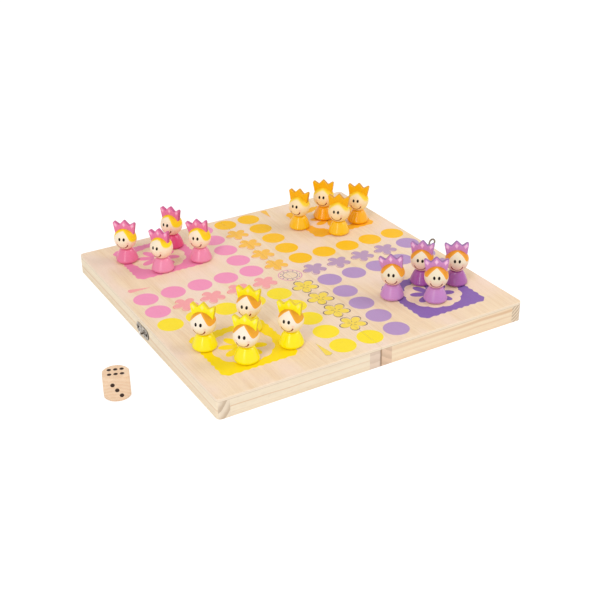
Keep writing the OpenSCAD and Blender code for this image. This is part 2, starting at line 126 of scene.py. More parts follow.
class Net:
    """A node tree with short calls that add nodes and join them."""

    def __init__(self, tree: bpy.types.NodeTree) -> None:
        """Keeps the tree."""
        self.tree = tree

    def add(self, kind: str, **settings: object) -> bpy.types.Node:
        """Adds a node.

        Args:
            kind: The node's type without the leading "ShaderNode".
            settings: Properties to set on it.

        Returns:
            The new node.
        """
        node = self.tree.nodes.new("ShaderNode" + kind)
        for key, value in settings.items():
            setattr(node, key, value)
        return node

    def plug(self, socket: bpy.types.NodeSocket, value: Value) -> None:
        """Joins a wire to a socket, or sets the socket to a constant.

        Args:
            socket: The input that is fed.
            value: A wire or a constant.
        """
        if isinstance(value, Wire):
            self.tree.links.new(value.socket, socket)
        else:
            socket.default_value = value

    def math(self, operation: str, *values: Value) -> Wire:
        """Adds a Math node on up to three values.

        Args:
            operation: The node's operation.
            values: What it works on.

        Returns:
            The result.
        """
        node = self.add("Math", operation=operation)
        for socket, value in zip(node.inputs, values):
            self.plug(socket, value)
        return Wire(self, node.outputs[0])

    def fade(self, value: Value, low: float, high: float) -> Wire:
        """A soft step: 0 where the value is at low and 1 where it is at high, in either order.

        Args:
            value: What is compared.
            low: Where the step is 0.
            high: Where the step is 1.

        Returns:
            The step.
        """
        node = self.add("MapRange", interpolation_type="SMOOTHSTEP")
        start, end = (0.0, 1.0) if low < high else (1.0, 0.0)
        for key, number in (("From Min", min(low, high)), ("From Max", max(low, high))):
            node.inputs[key].default_value = number
        node.inputs["To Min"].default_value = start
        node.inputs["To Max"].default_value = end
        self.plug(node.inputs["Value"], value)
        return Wire(self, node.outputs["Result"])

    def mix(self, share: Value, first: Value, second: Value) -> Wire:
        """A colour between two: the first where the share is 0, the second where it is 1.

        Args:
            share: The second colour's share.
            first: One colour.
            second: The other colour.

        Returns:
            The mixed colour.
        """
        node = self.add("Mix", data_type="RGBA")
        self.plug(node.inputs[0], share)
        self.plug(node.inputs[6], first)
        self.plug(node.inputs[7], second)
        return Wire(self, node.outputs[2])

    def tint(self, colour: Value, factor: Value) -> Wire:
        """A colour made darker or lighter by a factor that changes over the surface.

        Args:
            colour: The colour.
            factor: What it is multiplied by.

        Returns:
            The tinted colour.
        """
        node = self.add("VectorMath", operation="SCALE")
        self.plug(node.inputs[0], colour if isinstance(colour, Wire) else colour[:3])
        self.plug(node.inputs["Scale"], factor)
        return Wire(self, node.outputs[0])

    def split(self, vector: Wire) -> tuple[Wire, Wire, Wire]:
        """The three numbers of a vector.

        Args:
            vector: The vector.

        Returns:
            Its X, Y and Z.
        """
        node = self.add("SeparateXYZ")
        self.plug(node.inputs[0], vector)
        return Wire(self, node.outputs[0]), Wire(self, node.outputs[1]), Wire(self, node.outputs[2])

    def pack(self, x: Value, y: Value, z: Value) -> Wire:
        """A vector from three numbers.

        Args:
            x: Its X.
            y: Its Y.
            z: Its Z.

        Returns:
            The vector.
        """
        node = self.add("CombineXYZ")
        for socket, value in zip(node.inputs, (x, y, z)):
            self.plug(socket, value)
        return Wire(self, node.outputs[0])

    def noise(self, place: Wire, detail: float = 2.0, rough: float = 0.5, scale: float = 1.0) -> Wire:
        """Smooth noise from 0 to 1, about one lump for each unit of the place.

        Args:
            place: Where the noise is read.
            detail: How many finer layers it has.
            rough: How strong each finer layer is.
            scale: Lumps for each unit.

        Returns:
            The noise.
        """
        node = self.add("TexNoise")
        self.plug(node.inputs["Vector"], place)
        node.inputs["Scale"].default_value = scale
        node.inputs["Detail"].default_value = detail
        node.inputs["Roughness"].default_value = rough
        return Wire(self, node.outputs[0])

    def object_place(self) -> tuple[Wire, Wire, Wire]:
        """The surface point in the piece's own frame, in millimetres, as three numbers.

        Returns:
            X, Y and Z.
        """
        node = self.add("TexCoord")
        x, y, z = self.split(Wire(self, node.outputs["Object"]))
        return x / MM, y / MM, z / MM

    def object_normal(self) -> tuple[Wire, Wire, Wire]:
        """The surface's outward direction in the piece's own frame, as three numbers."""
        node = self.add("TexCoord")
        return self.split(Wire(self, node.outputs["Normal"]))

    def attribute(self, name: str) -> Wire:
        """A vector that the piece's mesh carries."""
        node = self.add("Attribute", attribute_type="GEOMETRY", attribute_name=name)
        return Wire(self, node.outputs["Vector"])

    def attribute_value(self, name: str) -> Wire:
        """A number that the piece's mesh carries."""
        node = self.add("Attribute", attribute_type="GEOMETRY", attribute_name=name)
        return Wire(self, node.outputs["Fac"])

    def curve(self, value: Wire, points: tuple[tuple[float, float], ...]) -> Wire:
        """A smooth curve through the points, which lie from 0 to 1 both ways.

        Args:
            value: Where the curve is read.
            points: Pairs of place and height, in order.

        Returns:
            The curve's height.
        """
        node = self.add("FloatCurve")
        line = node.mapping.curves[0]
        line.points[0].location = points[0]
        line.points[1].location = points[-1]
        for point in points[1:-1]:
            line.points.new(*point)
        node.mapping.update()
        self.plug(node.inputs["Value"], value)
        return Wire(self, node.outputs[0])

    def use(self, group: bpy.types.NodeTree, **values: Value) -> dict[str, Wire]:
        """Places a node group.

        Args:
            group: The group's tree.
            values: What its inputs get, by name, with spaces as underscores.

        Returns:
            Its outputs by name.
        """
        node = self.add("Group")
        node.node_tree = group
        for key, value in values.items():
            self.plug(node.inputs[key.replace("_", " ")], value)
        return {output.name: Wire(self, output) for output in node.outputs}

    def surface(self, colour: Value, roughness: Value, height: Wire | None = None, lift: float = 0.0,
                **plain: float) -> None:
        """Ends a material with one Principled shader.

        Args:
            colour: Base colour.
            roughness: Roughness.
            height: Relief from 0 to 1, or nothing.
            lift: The relief's height in millimetres.
            plain: Other sockets of the shader, by name with underscores, set to constants.
        """
        shader = self.add("BsdfPrincipled")
        self.plug(shader.inputs["Base Color"], colour)
        self.plug(shader.inputs["Roughness"], roughness)
        for key, number in plain.items():
            shader.inputs[key.replace("_", " ")].default_value = number
        if height is not None:
            bump = self.add("Bump")
            bump.inputs["Distance"].default_value = lift * MM
            self.plug(bump.inputs["Height"], height)
            self.tree.links.new(bump.outputs[0], shader.inputs["Normal"])
        output = self.add("OutputMaterial")
        self.tree.links.new(shader.outputs[0], output.inputs["Surface"])


class Kind(Enum):
    """What a group's socket carries."""

    NUMBER = "NodeSocketFloat"
    VECTOR = "NodeSocketVector"


@dataclass(frozen=True)
class Effect:
    """An effect that several materials share, kept as one shader node group."""

    name: str
    takes: tuple[tuple[str, Kind], ...]
    gives: tuple[str, ...]

    def group(self) -> bpy.types.NodeTree:
        """The group's tree, built the first time that it is asked for.

        Returns:
            The node group.
        """
        found = bpy.data.node_groups.get(self.name)
        if found is not None:
            return found
        tree = bpy.data.node_groups.new(self.name, "ShaderNodeTree")
        for name, kind in self.takes:
            tree.interface.new_socket(name=name, in_out="INPUT", socket_type=kind.value)
        for name in self.gives:
            tree.interface.new_socket(name=name, in_out="OUTPUT", socket_type=Kind.NUMBER.value)
        net = Net(tree)
        entry = tree.nodes.new("NodeGroupInput")
        exit_node = tree.nodes.new("NodeGroupOutput")
        values = self.work(net, {name: Wire(net, entry.outputs[name]) for name, _ in self.takes})
        for name, value in zip(self.gives, values):
            net.plug(exit_node.inputs[name], value)
        return tree

    def work(self, net: Net, taken: dict[str, Wire]) -> tuple[Wire, ...]:
        """Builds the inside of the group and gives its outputs in order."""
        raise NotImplementedError


@dataclass(frozen=True)
class WoodFigure(Effect):
    """Straight wood figure. The place is in millimetres, with its X along the grain."""

    name: str = "wood_figure"
    takes: tuple[tuple[str, Kind], ...] = (("Place", Kind.VECTOR),)
    gives: tuple[str, ...] = ("Bands", "Streaks", "Pores", "Blotches")

    def work(self, net: Net, taken: dict[str, Wire]) -> tuple[Wire, ...]:
        """Noise drawn out along the grain at four widths, all wandering with the same slow noise.

        Args:
            net: The group's tree.
            taken: Its inputs by name.

        Returns:
            Its outputs, in the order of their names.
        """
        along, across, deep = net.split(taken["Place"])
        wander = net.noise(net.pack(along * 0.006, across * 0.02, deep * 0.02), 1.0) * 14
        side = across + wander
        bands = net.noise(net.pack(along * 0.003, side * 0.16, deep * 0.16), 3.0, 0.6)
        streaks = net.noise(net.pack(along * 0.02, side * 1.3, deep * 1.3), 3.0, 0.65)
        pores = net.noise(net.pack(along * 0.25, side * 4.5, deep * 4.5), 1.0)
        blotches = net.noise(net.pack(along * 0.018, across * 0.04, deep * 0.04), 2.0)
        return bands, streaks, net.fade(pores, 0.58, 0.72), blotches


@dataclass(frozen=True)
class EndGrain(Effect):
    """Growth rings on a sawn end, round a pith given in millimetres in the plane of X and Z."""

    name: str = "end_grain"
    takes: tuple[tuple[str, Kind], ...] = (
        ("Place", Kind.VECTOR), ("Pith", Kind.VECTOR), ("Spacing", Kind.NUMBER),
    )
    gives: tuple[str, ...] = ("Rings", "Specks")

    def work(self, net: Net, taken: dict[str, Wire]) -> tuple[Wire, ...]:
        """The share of the way from one ring to the next, which darkens slowly and ends in a thin line.

        Args:
            net: The group's tree.
            taken: Its inputs by name.

        Returns:
            Its outputs, in the order of their names.
        """
        x, _, z = net.split(taken["Place"])
        px, _, pz = net.split(taken["Pith"])
        waver = net.noise(net.pack(x * 0.35, 0.0, z * 0.35), 2.0) * 1.3
        reach = net.math("SQRT", (x - px) ** 2.0 + (z - pz) ** 2.0) + waver
        turn = net.math("FRACT", reach / taken["Spacing"])
        rings = net.fade(turn, 0.15, 0.85) * net.fade(turn, 0.99, 0.9)
        specks = net.noise(net.pack(x * 2.6, 0.0, z * 2.6), 2.0, 0.7)
        return rings, specks


@dataclass(frozen=True)
class Handling(Effect):
    """Soft smudges and fine dust for paint, ink and steel."""

    name: str = "handling"
    takes: tuple[tuple[str, Kind], ...] = (("Place", Kind.VECTOR),)
    gives: tuple[str, ...] = ("Smudges", "Dust")

    def work(self, net: Net, taken: dict[str, Wire]) -> tuple[Wire, ...]:
        """Slow noise for the smudges and fine noise for the dust, for a place in millimetres.

        Args:
            net: The group's tree.
            taken: Its inputs by name.

        Returns:
            Its outputs, in the order of their names.
        """
        x, y, z = net.split(taken["Place"])
        smudges = net.noise(net.pack(x * 0.22, y * 0.22, z * 0.22), 3.0, 0.6)
        dust = net.noise(net.pack(x * 3.1, y * 3.1, z * 3.1), 1.0)
        return smudges, net.fade(dust, 0.5, 0.75)


@dataclass(frozen=True)
class HeadBearing(Effect):
    """Bearing and elevation in degrees of a point on a ball, from the ball's middle. The front is -Y."""

    name: str = "head_bearing"
    takes: tuple[tuple[str, Kind], ...] = (("Place", Kind.VECTOR), ("Middle", Kind.NUMBER))
    gives: tuple[str, ...] = ("Bearing", "Elevation")

    def work(self, net: Net, taken: dict[str, Wire]) -> tuple[Wire, ...]:
        """Two arc tangents, one in the level plane and one of the rise over the level distance.

        Args:
            net: The group's tree.
            taken: Its inputs by name.

        Returns:
            Its outputs, in the order of their names.
        """
        x, y, z = net.split(taken["Place"])
        level = net.math("SQRT", x ** 2.0 + y ** 2.0)
        bearing = net.math("ARCTAN2", x, 0.0 - y) * (180 / math.pi)
        elevation = net.math("ARCTAN2", z - taken["Middle"], level) * (180 / math.pi)
        return bearing, elevation


@dataclass(frozen=True)
class PaintedFace(Effect):
    """The eyes, the smile and the cheeks of a pawn, as masks over bearing and elevation.

    Places and half sizes are in degrees. The smile is an arc round a middle between the eyes' height and
    the chin, which is wider towards its two ends.
    """

    name: str = "painted_face"
    takes: tuple[tuple[str, Kind], ...] = (("Bearing", Kind.NUMBER), ("Elevation", Kind.NUMBER))
    gives: tuple[str, ...] = ("Eyes", "Glints", "Smile", "Cheeks")
    eye_side: float = 11.5
    eye_rise: float = 15.0
    eye_w: float = 6.0
    eye_h: float = 8.4
    glint_side: float = 1.6
    glint_rise: float = 18.0
    glint_half: tuple[float, float] = (0.8, 1.0)
    smile_middle: float = -8.2
    smile_r: float = 29.5
    smile_half: float = 76.0
    smile_w: float = 2.7
    smile_swell: float = 0.6
    cheek_at: tuple[float, float] = (30.0, -6.0)
    cheek_half: tuple[float, float] = (12.0, 11.0)

    def spot(self, net: Net, x: Wire, y: Wire, at: tuple[float, float], half: tuple[float, float]) -> Wire:
        """How far a point lies from a spot, where 1 is the spot's oval edge."""
        return net.math("SQRT", ((x - at[0]) / half[0]) ** 2.0 + ((y - at[1]) / half[1]) ** 2.0)

    def work(self, net: Net, taken: dict[str, Wire]) -> tuple[Wire, ...]:
        """Ovals for the eyes and cheeks, and a line at one distance from a middle for the smile.

        Args:
            net: The group's tree.
            taken: Its inputs by name.

        Returns:
            Its outputs, in the order of their names.
        """
        up = taken["Elevation"]
        side = taken["Bearing"] * net.math("COSINE", up * (math.pi / 180))
        eye = self.spot(net, abs(side), up, (self.eye_side, self.eye_rise), (self.eye_w, self.eye_h))
        # Painted highlight: a small pale glint in each eye.
        glint_at = (self.eye_side, self.glint_rise)
        glint = self.spot(net, abs(side + self.glint_side), up, glint_at, self.glint_half)
        below = (up - self.smile_middle) * -1.0
        reach = net.math("SQRT", side ** 2.0 + below ** 2.0)
        swing = net.math("ARCTAN2", abs(side), below) * (180 / math.pi)
        width = (swing / self.smile_half) ** 2.0 * self.smile_swell + self.smile_w
        line = abs(reach - self.smile_r) / width
        ends = net.fade(swing, self.smile_half + 1.5, self.smile_half - 1.0)
        smile = net.fade(line, 1.25, 0.75) * ends
        cheek = self.spot(net, abs(side), up, self.cheek_at, self.cheek_half)
        return net.fade(eye, 1.08, 0.94), net.fade(glint, 1.1, 0.8), smile, net.fade(cheek, 1.0, 0.0)


@dataclass(frozen=True)
class CrownGems(Effect):
    """Three painted diamonds, one on each point of a crown. The place is taken from the ball's middle."""

    name: str = "crown_gems"
    takes: tuple[tuple[str, Kind], ...] = (("Place", Kind.VECTOR),)
    gives: tuple[str, ...] = ("Gems", "Hearts")
    side: float = 7.7
    rise: float = 12.9
    middle_rise: float = 13.6
    half_w: float = 1.7
    half_h: float = 2.5
    lean: float = 0.28

    def work(self, net: Net, taken: dict[str, Wire]) -> tuple[Wire, ...]:
        """The diamond distance to the nearest gem, the outer two leaning with their points.

        Args:
            net: The group's tree.
            taken: Its inputs by name.

        Returns:
            Its outputs, in the order of their names.
        """
        x, _, z = net.split(taken["Place"])
        out = abs(x)
        outer = abs(out - self.side - (z - self.rise) * self.lean) / self.half_w
        outer = outer + abs(z - self.rise) / self.half_h
        inner = out / self.half_w + abs(z - self.middle_rise) / self.half_h
        near = net.math("MINIMUM", outer, inner)
        return net.fade(near, 1.25, 0.75), net.fade(near, 0.8, 0.1)


# ---- Finishes ----


@dataclass(frozen=True)
class Finish:
    """A finish by name. Its material is made the first time that a piece asks for it."""

    name: str

    def material(self) -> bpy.types.Material:
        """The finish as a Blender material.

        Returns:
            The material.
        """
        found = bpy.data.materials.get(self.name)
        if found is not None:
            return found
        made = bpy.data.materials.new(self.name)
        made.use_nodes = True
        made.node_tree.nodes.clear()
        self.dress(Net(made.node_tree))
        return made

    def dress(self, net: Net) -> None:
        """Fills the material's node tree."""
        raise NotImplementedError


@dataclass(frozen=True)
class Veneer(Finish):
    """The panels: pale veneer, its grain along the fold, with a lighter ply edge."""

    light: Colour = (247, 223, 191)
    dark: Colour = (232, 199, 161)
    blush: Colour = (247, 222, 206)
    edge: Colour = (249, 232, 209)
    seam: Colour = (214, 190, 162)
    seam_z: float = WALL_TOP
    ply: float = 1.25
    shine: float = 0.2

    def dress(self, net: Net) -> None:
        """Bands, streaks and pores over the faces, ply lines on the edges and a glue seam underneath.

        Args:
            net: The material's tree.
        """
        x, y, z = net.object_place()
        _, _, nz = net.object_normal()
        wood = net.use(WoodFigure().group(), Place=net.pack(y, x, z))
        share = wood["Bands"] * 0.6 + wood["Streaks"] * 0.8 - 0.35
        face = net.mix(net.fade(share, 0.1, 0.75), srgb(self.light), srgb(self.dark))
        face = net.mix(net.fade(wood["Blotches"], 0.42, 0.7) * 0.7, face, srgb(self.blush))
        face = net.tint(face, 1.01 - wood["Pores"] * 0.08)
        layer = net.fade(abs(z - self.seam_z - self.ply), 0.5, 0.35) * 0.3
        side = net.mix(layer, srgb(self.edge), srgb(self.dark))
        side = net.mix(net.fade(z, self.seam_z + 0.22, self.seam_z + 0.04), side, srgb(self.seam))
        colour = net.mix(net.fade(abs(nz), 0.72, 0.5), face, side)
        height = wood["Streaks"] * 0.5 - wood["Pores"]
        net.surface(colour, 0.48 + wood["Streaks"] * 0.14, height, 0.05, Specular_IOR_Level=self.shine)


class Grain(Enum):
    """Which way a wall's grain runs."""

    ALONG_FOLD = "along the fold"
    ACROSS = "across the fold"


@dataclass(frozen=True)
class WallWood(Finish):
    """Solid frame wood, with growth rings on the sawn ends of the walls that run along the fold."""

    grain: Grain = Grain.ALONG_FOLD
    pith: tuple[float, float] = (0.0, -30.0)
    ring: float = 3.0
    ring_depth: float = 0.6
    light: Colour = (250, 234, 208)
    dark: Colour = (241, 219, 188)
    late: Colour = (222, 172, 122)
    end: Colour = (246, 226, 202)
    end_dark: Colour = (178, 146, 112)
    seam: Colour = (216, 192, 162)
    # Colour of the painted shade in the gap between the halves, on the edges that meet at the fold.
    fold_gap_shade: Colour = (112, 66, 40)
    lines: tuple[tuple[float, float, float], ...] = ((7.2, 1.3, 0.35),)
    top: float = WALL_TOP
    other_board: float = 400.0
    shine: float = 0.2

    def dress(self, net: Net) -> None:
        """Long grain with lines of late wood, rings on the ends and a thin dark seam under the panel.

        Each line of late wood has a height, a half width and a strength, and wavers along the grain.
        The wood is a little darker low down, and the edges that meet at the fold carry a painted shade for
        the gap between the halves. A wall across the fold is cut from another part of the figure.

        Args:
            net: The material's tree.
        """
        x, y, z = net.object_place()
        nx, ny, _ = net.object_normal()
        along_fold = self.grain is Grain.ALONG_FOLD
        long_grain = net.pack(y, x, z) if along_fold else net.pack(x, y + self.other_board, z)
        wood = net.use(WoodFigure().group(), Place=long_grain)
        share = wood["Bands"] * 0.9 + wood["Streaks"] * 0.4 - 0.3
        colour = net.mix(net.fade(share, 0.15, 0.7), srgb(self.light), srgb(self.dark))
        colour = net.tint(colour, 1.0 - wood["Pores"] * 0.05)
        waver = (wood["Blotches"] - 0.5) * 2.4
        for rise, half, strength in self.lines:
            near = abs(z + waver - rise)
            strong = net.fade(abs(x), 0.0, 130.0) * 0.5 + 0.5
            colour = net.mix(net.fade(near, half, half * 0.15) * strong * strength, colour, srgb(self.late))
        colour = net.mix(net.fade(z, 4.5, 0.5) * 0.45, colour, srgb(self.dark))
        height = wood["Streaks"] * 0.5 - wood["Pores"]
        if along_fold:
            pith = (self.pith[0], 0.0, self.pith[1])
            sawn = net.use(EndGrain().group(), Place=net.pack(x, y, z), Pith=pith, Spacing=self.ring)
            end = net.mix(sawn["Rings"] * self.ring_depth, srgb(self.end), srgb(self.end_dark))
            end = net.tint(end, 1.03 - sawn["Specks"] * 0.1)
            colour = net.mix(net.fade(abs(ny), 0.55, 0.75), colour, end)
            # Painted shade: the gap at the fold, drawn dark brown on the edges that meet there.
            edge = net.fade(abs(x), 1.1, 0.4) * net.fade(abs(nx), 0.8, 0.6)
            colour = net.mix(edge * 0.7, colour, srgb(self.fold_gap_shade))
        colour = net.mix(net.fade(z, self.top - 0.3, self.top - 0.05), colour, srgb(self.seam))
        net.surface(colour, 0.5 + wood["Streaks"] * 0.16, height, 0.06, Specular_IOR_Level=self.shine)


@dataclass(frozen=True)
class Ink(Finish):
    """Thin screen-printed ink that follows the veneer's grain."""

    colour: Colour = (0, 0, 0)
    veil: float = 0.08
    pale: float = 235
    paling: float = 0.38
    shine: float = 0.12

    def dress(self, net: Net) -> None:
        """The ink's colour, a little paler on the wood's streaks and darker in its bands and pores.

        Args:
            net: The material's tree.
        """
        x, y, z = net.object_place()
        wood = net.use(WoodFigure().group(), Place=net.pack(y, x, z))
        wear = net.use(Handling().group(), Place=net.pack(x, y, z))
        pale = tuple((1 - self.paling) * part + self.paling * self.pale for part in self.colour)
        thin = net.fade(wood["Streaks"], 0.4, 0.75) * self.veil + wear["Smudges"] * 0.03
        colour = net.mix(thin, srgb(self.colour), srgb(pale))
        colour = net.tint(colour, 1.02 - wood["Pores"] * 0.07 - wood["Bands"] * 0.04)
        height = wood["Streaks"] * 0.5 - wood["Pores"]
        net.surface(colour, 0.42 + wear["Smudges"] * 0.12, height, 0.04, Specular_IOR_Level=self.shine)


@dataclass(frozen=True)
class Lacquer(Finish):
    """Glossy paint on turned wood, with painted shade in the grooves that the tool left."""

    colour: Colour = (0, 0, 0)
    # Colour for the pawn's deep tone and smudges, and for the painted shade in the grooves and at the foot.
    deep: Colour = (0, 0, 0)
    ridge: float = 1.1
    shine: float = 0.12
    coat: float = 0.6
    coat_rough: float = 0.15

    def dress(self, net: Net) -> None:
        """Colour by the pawn's own tone, with painted shade in the grooves and at the foot, and soft smudges.

        Args:
            net: The material's tree.
        """
        x, y, z = net.split(net.attribute("place"))
        wear = net.use(Handling().group(), Place=net.pack(x, y, z))
        # The tool's rings, as relief and as painted shade in their hollows.
        groove = net.math("SINE", z * (2 * math.pi / self.ridge) + wear["Smudges"] * 5.0) * 0.5 + 0.5
        # Painted shade at the foot, where it meets the board.
        low = net.fade(z, 1.5, 0.2)
        share = groove * 0.14 + low * 0.3 + wear["Smudges"] * 0.1 + net.attribute_value("tone") * 0.85
        colour = net.mix(net.math("MINIMUM", share, 1.0), srgb(self.colour), srgb(self.deep))
        net.surface(colour, 0.26 + wear["Smudges"] * 0.1, groove * 0.6 - wear["Dust"] * 0.3, 0.02,
                    Specular_IOR_Level=self.shine, Coat_Weight=self.coat, Coat_Roughness=self.coat_rough)


@dataclass(frozen=True)
class Head(Finish):
    """A pawn's ball: skin colour, painted hair and face.

    The hair line gives elevation over bearing, and the hair's edge fades over soft degrees either way.
    """

    hair: Colour = (0, 0, 0)
    # The hair in its painted shade towards the crown, and in its streaks.
    hair_shade_and_streak: Colour = (0, 0, 0)
    hair_line: tuple[tuple[float, float], ...] = ()
    soft: float = 1.5
    skin: Colour = (255, 240, 222)
    # The skin in its painted shade, towards the neck and on the sides.
    skin_shaded: Colour = (253, 218, 180)
    blush: Colour = (250, 176, 160)
    dark: Colour = (26, 12, 8)
    lips: Colour = (140, 34, 28)
    glint: Colour = (250, 250, 250)
    middle: float = BALL_Z
    shine: float = 0.14

    def dress(self, net: Net) -> None:
        """Skin with painted shade towards the neck and on the sides, then cheeks, hair, eyes and smile laid
        over it.

        The pawn's own lock value, in degrees, lowers or lifts the hair's right lock.

        Args:
            net: The material's tree.
        """
        x, y, z = net.split(net.attribute("place"))
        bearings = net.use(HeadBearing().group(), Place=net.pack(x, y, z), Middle=self.middle)
        turn, rise = bearings["Bearing"], bearings["Elevation"]
        face = net.use(PaintedFace().group(), Bearing=turn, Elevation=rise)
        wear = net.use(Handling().group(), Place=net.pack(x, y, z))
        # Painted shade: the skin darkens towards the neck and on the sides, more on a pawn of deep tone.
        neck_and_side_shade = net.fade(rise, 8.0, -48.0) + net.fade(abs(turn), 40.0, 100.0) * 0.4
        neck_and_side_shade = neck_and_side_shade + net.attribute_value("tone") * net.fade(rise, 20.0, -25.0) * 0.35
        colour = net.mix(net.math("MINIMUM", neck_and_side_shade, 1.0), srgb(self.skin), srgb(self.skin_shaded))
        colour = net.mix(face["Cheeks"] * 0.42, colour, srgb(self.blush))
        points = tuple(((bearing + 180) / 360, (up + 90) / 180) for bearing, up in self.hair_line)
        line = net.curve((turn + 180.0) / 360.0, points) * 180.0 - 90.0
        line = line - net.attribute_value("lock") * net.fade(turn, 6.0, 36.0)
        strand = net.noise(net.pack(turn * 0.22, rise * 0.03, 0.0), 3.0, 0.6)
        over = rise - line + (strand - 0.5) * 1.5
        # Painted shade on the hair towards the crown, with darker streaks.
        depth = net.fade(over, 4.0, 34.0) * 0.7 + strand * 0.25
        hair = net.mix(depth, srgb(self.hair), srgb(self.hair_shade_and_streak))
        colour = net.mix(net.fade(over, -self.soft, self.soft), colour, hair)
        colour = net.mix(face["Smile"], colour, srgb(self.lips))
        colour = net.mix(face["Eyes"], colour, srgb(self.dark))
        # Painted highlight: the glint in each eye.
        colour = net.mix(face["Glints"] * face["Eyes"] * 0.2, colour, srgb(self.glint))
        colour = net.tint(colour, 1.01 - wear["Dust"] * 0.03)
        rough = 0.32 + wear["Smudges"] * 0.12 + face["Eyes"] * 0.4
        net.surface(colour, rough, wear["Smudges"], 0.04, Specular_IOR_Level=self.shine)


@dataclass(frozen=True)
class Crown(Finish):
    """A pawn's crown: gloss paint with three paler painted gems on each side."""

    colour: Colour = (0, 0, 0)
    # Colour of the painted shade on the edge faces, which the smudges also take on.
    deep: Colour = (0, 0, 0)
    gem: Colour = (0, 0, 0)
    gem_heart: Colour = (255, 238, 242)
    gem_strength: float = 0.9
    middle: float = BALL_Z
    shine: float = 0.25
    coat: float = 0.1
    coat_rough: float = 0.2

    def dress(self, net: Net) -> None:
        """Painted shade on the board's edge faces, with smudges, and gems on its two faces.

        Args:
            net: The material's tree.
        """
        x, y, z = net.split(net.attribute("place"))
        wear = net.use(Handling().group(), Place=net.pack(x, y, z))
        gems = net.use(CrownGems().group(), Place=net.pack(x, y, z - self.middle))
        # Painted shade: the edge faces between front and back are darkened; smudges add to it.
        edge = net.fade(abs(y), 1.95, 1.4)
        colour = net.mix(edge * 0.85 + wear["Smudges"] * 0.15, srgb(self.colour), srgb(self.deep))
        face = net.fade(abs(y), 1.5, 1.8) * self.gem_strength
        colour = net.mix(gems["Gems"] * face, colour, srgb(self.gem))
        heart = net.mix(0.5, srgb(self.gem), srgb(self.gem_heart))
        colour = net.mix(gems["Hearts"] * face, colour, heart)
        net.surface(colour, 0.3 + wear["Smudges"] * 0.1, gems["Gems"] * 0.8 + wear["Smudges"] * 0.4, 0.05,
                    Specular_IOR_Level=self.shine, Coat_Weight=self.coat, Coat_Roughness=self.coat_rough)


@dataclass(frozen=True)
class DieWood(Finish):
    """Bare turned wood with dark painted pips, which the mesh's pip distance marks."""

    light: Colour = (243, 212, 180)
    dark: Colour = (230, 186, 146)
    pip: Colour = (56, 34, 22)
    pith: tuple[float, float, float] = (-4.0, 0.0, -26.0)
    ring: float = 2.7
    shine: float = 0.25

    def dress(self, net: Net) -> None:
        """Rings round a pith beside the die, fine streaks along it, and paint inside each pip's edge.

        Args:
            net: The material's tree.
        """
        x, y, z = net.split(net.attribute("place"))
        wood = net.use(WoodFigure().group(), Place=net.pack(y * 2.0, x * 2.0, z * 2.0))
        sawn = net.use(EndGrain().group(), Place=net.pack(x, y, z), Pith=self.pith, Spacing=self.ring)
        share = sawn["Rings"] * 0.28 + wood["Bands"] * 0.4 + wood["Streaks"] * 0.4 - 0.2
        colour = net.mix(net.fade(share, 0.1, 0.9), srgb(self.light), srgb(self.dark))
        colour = net.tint(colour, 1.02 - wood["Pores"] * 0.08)
        pip = net.fade(net.attribute_value("pip"), 1.04, 0.95)
        colour = net.mix(pip, colour, srgb(self.pip))
        height = wood["Streaks"] * 0.5 - wood["Pores"]
        net.surface(colour, 0.5 - pip * 0.2, height, 0.05, Specular_IOR_Level=self.shine)


@dataclass(frozen=True)
class Steel(Finish):
    """Plated sheet steel, brighter where it is rubbed and dull and dark in its stains."""

    light: Colour = (196, 188, 178)
    dark: Colour = (104, 94, 84)
    # Colour of the painted shade on the edge faces.
    cut: Colour = (44, 34, 28)
    dull: float = 0.36

    def dress(self, net: Net) -> None:
        """Smudges shift the colour and the roughness, fine dust gives relief, and edge faces get a painted
        shade.

        Args:
            net: The material's tree.
        """
        x, y, z = net.object_place()
        wear = net.use(Handling().group(), Place=net.pack(x * 3.0, y * 3.0, z * 3.0))
        stain = net.fade(wear["Smudges"], 0.35, 0.7)
        colour = net.mix(stain, srgb(self.light), srgb(self.dark))
        # Painted shade: faces that stand across the plate are darkened.
        nx, _, nz = net.object_normal()
        flat = net.math("MAXIMUM", abs(nx), abs(nz))
        colour = net.mix(net.fade(flat, 0.9, 0.6), colour, srgb(self.cut))
        net.surface(colour, stain * 0.2 + self.dull, wear["Dust"] + wear["Smudges"], 0.015, Metallic=1.0)


# ---- Shapes ----


@dataclass
class Skin:
    """A closed skin: points in millimetres, faces, the number of its finish and what its points carry."""

    points: np.ndarray
    faces: list[list[int]]
    finish: int = 0
    smooth: bool = True
    carried: dict[str, np.ndarray] = field(default_factory=dict)

    def outward(self) -> "Skin":
        """Turns the faces round if the skin's volume, summed over its triangles, is negative.

        Returns:
            The skin itself.
        """
        total = 0.0
        for size in sorted({len(face) for face in self.faces}):
            corners = self.points[np.array([face for face in self.faces if len(face) == size])]
            for i in range(1, size - 1):
                crossed = np.cross(corners[:, i], corners[:, i + 1])
                total += float((corners[:, 0] * crossed).sum())
        if total < 0:
            self.faces = [face[::-1] for face in self.faces]
        return self


